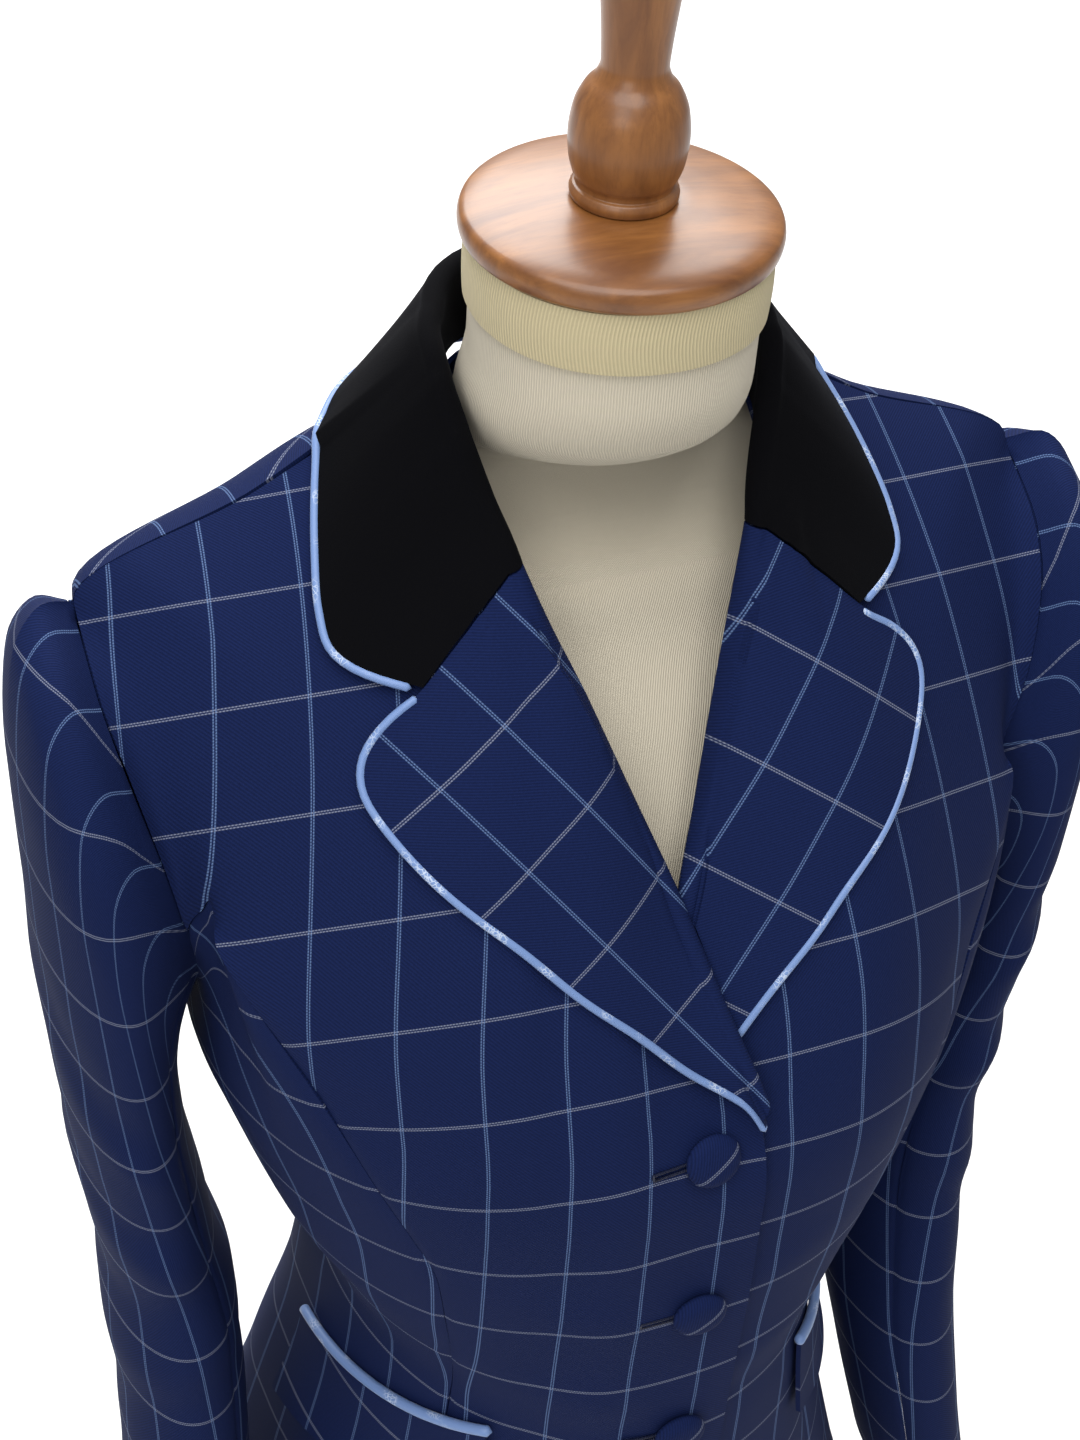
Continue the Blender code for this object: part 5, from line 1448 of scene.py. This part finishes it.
class COAT_OT_buttons(bpy.types.Operator):
    """Builds the covered buttons and their buttonholes"""
    bl_idname = "coat.buttons"
    bl_label = "Build buttons"

    def execute(self, context):
        tree = cloth_below(-1)
        thread = finish_of("thread", lambda: spun_thread(context.scene.coat_colours))
        for number, drop in enumerate(BUTTON_DROPS, start=1):
            spot, normal = seen_from_front(tree, BUTTON_X, SHOULDER_Z - drop)
            name = f"button_{number}_cover"
            mesh = turned_mesh(name, BUTTON_PROFILE, spot, normal, SLIM_SIDES, BUTTON_TILT)
            new_object(name, mesh, wool(context), f"button_{number}")
            name = f"buttonhole_{number}"
            line = buttonhole_line(tree, SHOULDER_Z - drop)
            ring = tube_mesh(name, line, BUTTONHOLE_THREAD, closed=True)
            new_object(name, ring, thread, None)
        return {"FINISHED"}


def rings_flat(rings):
    """Lengths round and up the rings of a closed piece."""
    arcs = row_arcs(np.concatenate([rings, rings[:, :1]], axis=1))[:, :-1]
    return np.stack([arcs, column_arcs(rings)], axis=-1)


class COAT_OT_form(bpy.types.Operator):
    """Builds the padded dress form and its ribbed neck band"""
    bl_idname = "coat.form"
    bl_label = "Build dress form"

    def execute(self, context):
        sizes, colours = context.scene.coat_sizes, context.scene.coat_colours
        rings = np.array([form_ring(drop) for drop in np.linspace(FORM[0][0], FORM[-1][0], FORM_RINGS)])
        faces = quads(FORM_RINGS, FORM_SIDES, around=True).tolist()
        faces.append(list(range(FORM_SIDES))[::-1])
        faces.append(list(range((FORM_RINGS - 1) * FORM_SIDES, FORM_RINGS * FORM_SIDES)))
        flat = rings_flat(rings).reshape(-1, 2)
        mesh = mesh_of("form_torso_jersey", rings.reshape(-1, 3), faces, flat)
        jersey = knitted_cotton("cream_cotton_jersey_knitted", colours.jersey, sizes.jersey_pitch)
        torso = new_object("form_torso_jersey", mesh, jersey, "form_torso")
        low, high = BAND_DROPS
        near, far = SEAM_GAP, SEAM_GAP + BAND_WALL
        loop = [(low, near), (high, near), (high, far)]
        for t in BAND_SHARES:
            loop.append((high + (low - high) * t, far + BAND_SWELL * math.sin(math.pi * t)))
        loop += [(low, far), (low, near)]
        band = np.array([form_ring(drop, grow) for drop, grow in loop])
        flat = rings_flat(band)[:-1].reshape(-1, 2)
        count = (len(loop) - 1) * FORM_SIDES
        faces = (quads(len(loop), FORM_SIDES, around=True) % count)[:, ::-1].tolist()
        mesh = mesh_of("neck_band_rib", band[:-1].reshape(-1, 3), faces, flat)
        ribbed = knitted_cotton("cream_cotton_band_ribbed", colours.band, sizes.rib_pitch)
        new_object("neck_band_rib", mesh, ribbed, "neck_band")
        return {"FINISHED"}


class COAT_OT_stand(bpy.types.Operator):
    """Builds the turned wooden cap, finial, pole and base"""
    bl_idname = "coat.stand"
    bl_label = "Build stand"

    def execute(self, context):
        colours = context.scene.coat_colours
        along_x = varnished_wood("hardwood_turned_cap_varnished", colours, GRAIN_ALONG_X)
        along_z = varnished_wood("hardwood_turned_spindle_varnished", colours, GRAIN_ALONG_Z)
        cap_z = SHOULDER_Z - CAP_BASE_DROP
        finial_z = cap_z + CAP_PROFILE[-1][1] + SEAM_GAP
        foot = BASE_PROFILE[-1][1] + SEAM_GAP
        length = SHOULDER_Z - FORM[0][0] - SEAM_GAP - foot
        pole = ((0.0, 0.0), (POLE_RADIUS, 0.0), (POLE_RADIUS, length), (0.0, length))
        pieces = (
            ("neck_cap", CAP_PROFILE, (0.0, NECK_Y, cap_z), ROUND_SIDES, along_x),
            ("finial", FINIAL_PROFILE, (0.0, NECK_Y, finial_z), SLIM_SIDES, along_z),
            ("stand_base", BASE_PROFILE, (0.0, 0.0, 0.0), ROUND_SIDES, along_x),
            ("stand_pole", pole, (0.0, 0.0, foot), SLIM_SIDES, along_z),
        )
        for piece, profile, centre, sides, wood in pieces:
            name = f"{piece}_wood"
            mesh = turned_mesh(name, profile, centre, (0.0, 0.0, 1.0), sides)
            new_object(name, mesh, wood, piece)
        return {"FINISHED"}


def camera_matrix():
    """The camera's place and directions, as a matrix."""
    yaw, pitch, roll = (math.radians(a) for a in (CAMERA_YAW, CAMERA_PITCH, CAMERA_ROLL))
    reach = math.cos(pitch)
    ahead = Vector((-math.sin(yaw) * reach, math.cos(yaw) * reach, -math.sin(pitch)))
    level = Vector((math.cos(yaw), math.sin(yaw), 0.0))
    above = level.cross(ahead)
    right = level * math.cos(roll) + above * math.sin(roll)
    above = above * math.cos(roll) - level * math.sin(roll)
    return Matrix.Translation(CAMERA_PLACE) @ Matrix((right, above, -ahead)).transposed().to_4x4()


class COAT_OT_stage(bpy.types.Operator):
    """Adds the plain floor, the studio light and the camera"""
    bl_idname = "coat.stage"
    bl_label = "Set the stage"

    def execute(self, context):
        scene = context.scene
        colours = scene.coat_colours
        mesh = bpy.data.meshes.new("floor")
        h = FLOOR_HALF
        mesh.from_pydata([(-h, -h, 0.0), (h, -h, 0.0), (h, h, 0.0), (-h, h, 0.0)], [], [(0, 1, 2, 3)])
        material, _, finish = surface("pale_painted_floor_matt")
        finish({"Base Color": colours.floor, "Roughness": 0.9, "IOR": 1.5, "Specular IOR Level": 0.1})
        mesh.materials.append(material)
        floor = bpy.data.objects.new("floor", mesh)
        scene.collection.objects.link(floor)
        world = bpy.data.worlds.new("studio")
        world.use_nodes = True
        background = world.node_tree.nodes["Background"]
        background.inputs["Color"].default_value = colours.light
        background.inputs["Strength"].default_value = WORLD_STRENGTH
        scene.world = world
        for name, place, target, size, power in LIGHTS:
            data = bpy.data.lights.new(name, "AREA")
            data.shape = "SQUARE"
            data.size = size
            data.energy = power
            data.color = colours.light[:3]
            lamp = bpy.data.objects.new(name, data)
            turn = (Vector(target) - Vector(place)).to_track_quat("-Z", "Y").to_matrix().to_4x4()
            lamp.matrix_world = Matrix.Translation(place) @ turn
            scene.collection.objects.link(lamp)
        data = bpy.data.cameras.new("camera")
        data.lens = CAMERA_LENS
        camera = bpy.data.objects.new("camera", data)
        camera.matrix_world = camera_matrix()
        scene.collection.objects.link(camera)
        scene.camera = camera
        scene.view_settings.view_transform = "Standard"
        return {"FINISHED"}


class COAT_PT_panel(bpy.types.Panel):
    """Sidebar panel with the coat's sizes, colours and steps"""
    bl_idname = "COAT_PT_panel"
    bl_label = "Riding show coat"
    bl_space_type = "VIEW_3D"
    bl_region_type = "UI"
    bl_category = "Coat"

    def draw(self, context):
        for group in (context.scene.coat_sizes, context.scene.coat_colours):
            for key in group.__annotations__:
                self.layout.prop(group, key)
        for step in OPERATORS:
            self.layout.operator(step.bl_idname)


OPERATORS = (COAT_OT_body, COAT_OT_sleeves, COAT_OT_lapels, COAT_OT_collar, COAT_OT_pockets,
             COAT_OT_buttons, COAT_OT_form, COAT_OT_stand, COAT_OT_stage)
CLASSES = (CoatSizes, CoatColours, *OPERATORS, COAT_PT_panel)


def register():
    for cls in CLASSES:
        bpy.utils.register_class(cls)
    bpy.types.Scene.coat_sizes = bpy.props.PointerProperty(type=CoatSizes)
    bpy.types.Scene.coat_colours = bpy.props.PointerProperty(type=CoatColours)


def unregister():
    del bpy.types.Scene.coat_colours
    del bpy.types.Scene.coat_sizes
    for cls in reversed(CLASSES):
        bpy.utils.unregister_class(cls)


def main():
    register()
    for step in OPERATORS:
        group, name = step.bl_idname.split(".")
        if getattr(getattr(bpy.ops, group), name)() != {"FINISHED"}:
            raise RuntimeError(f"{step.bl_label} did not finish")


if __name__ == "__main__":
    main()
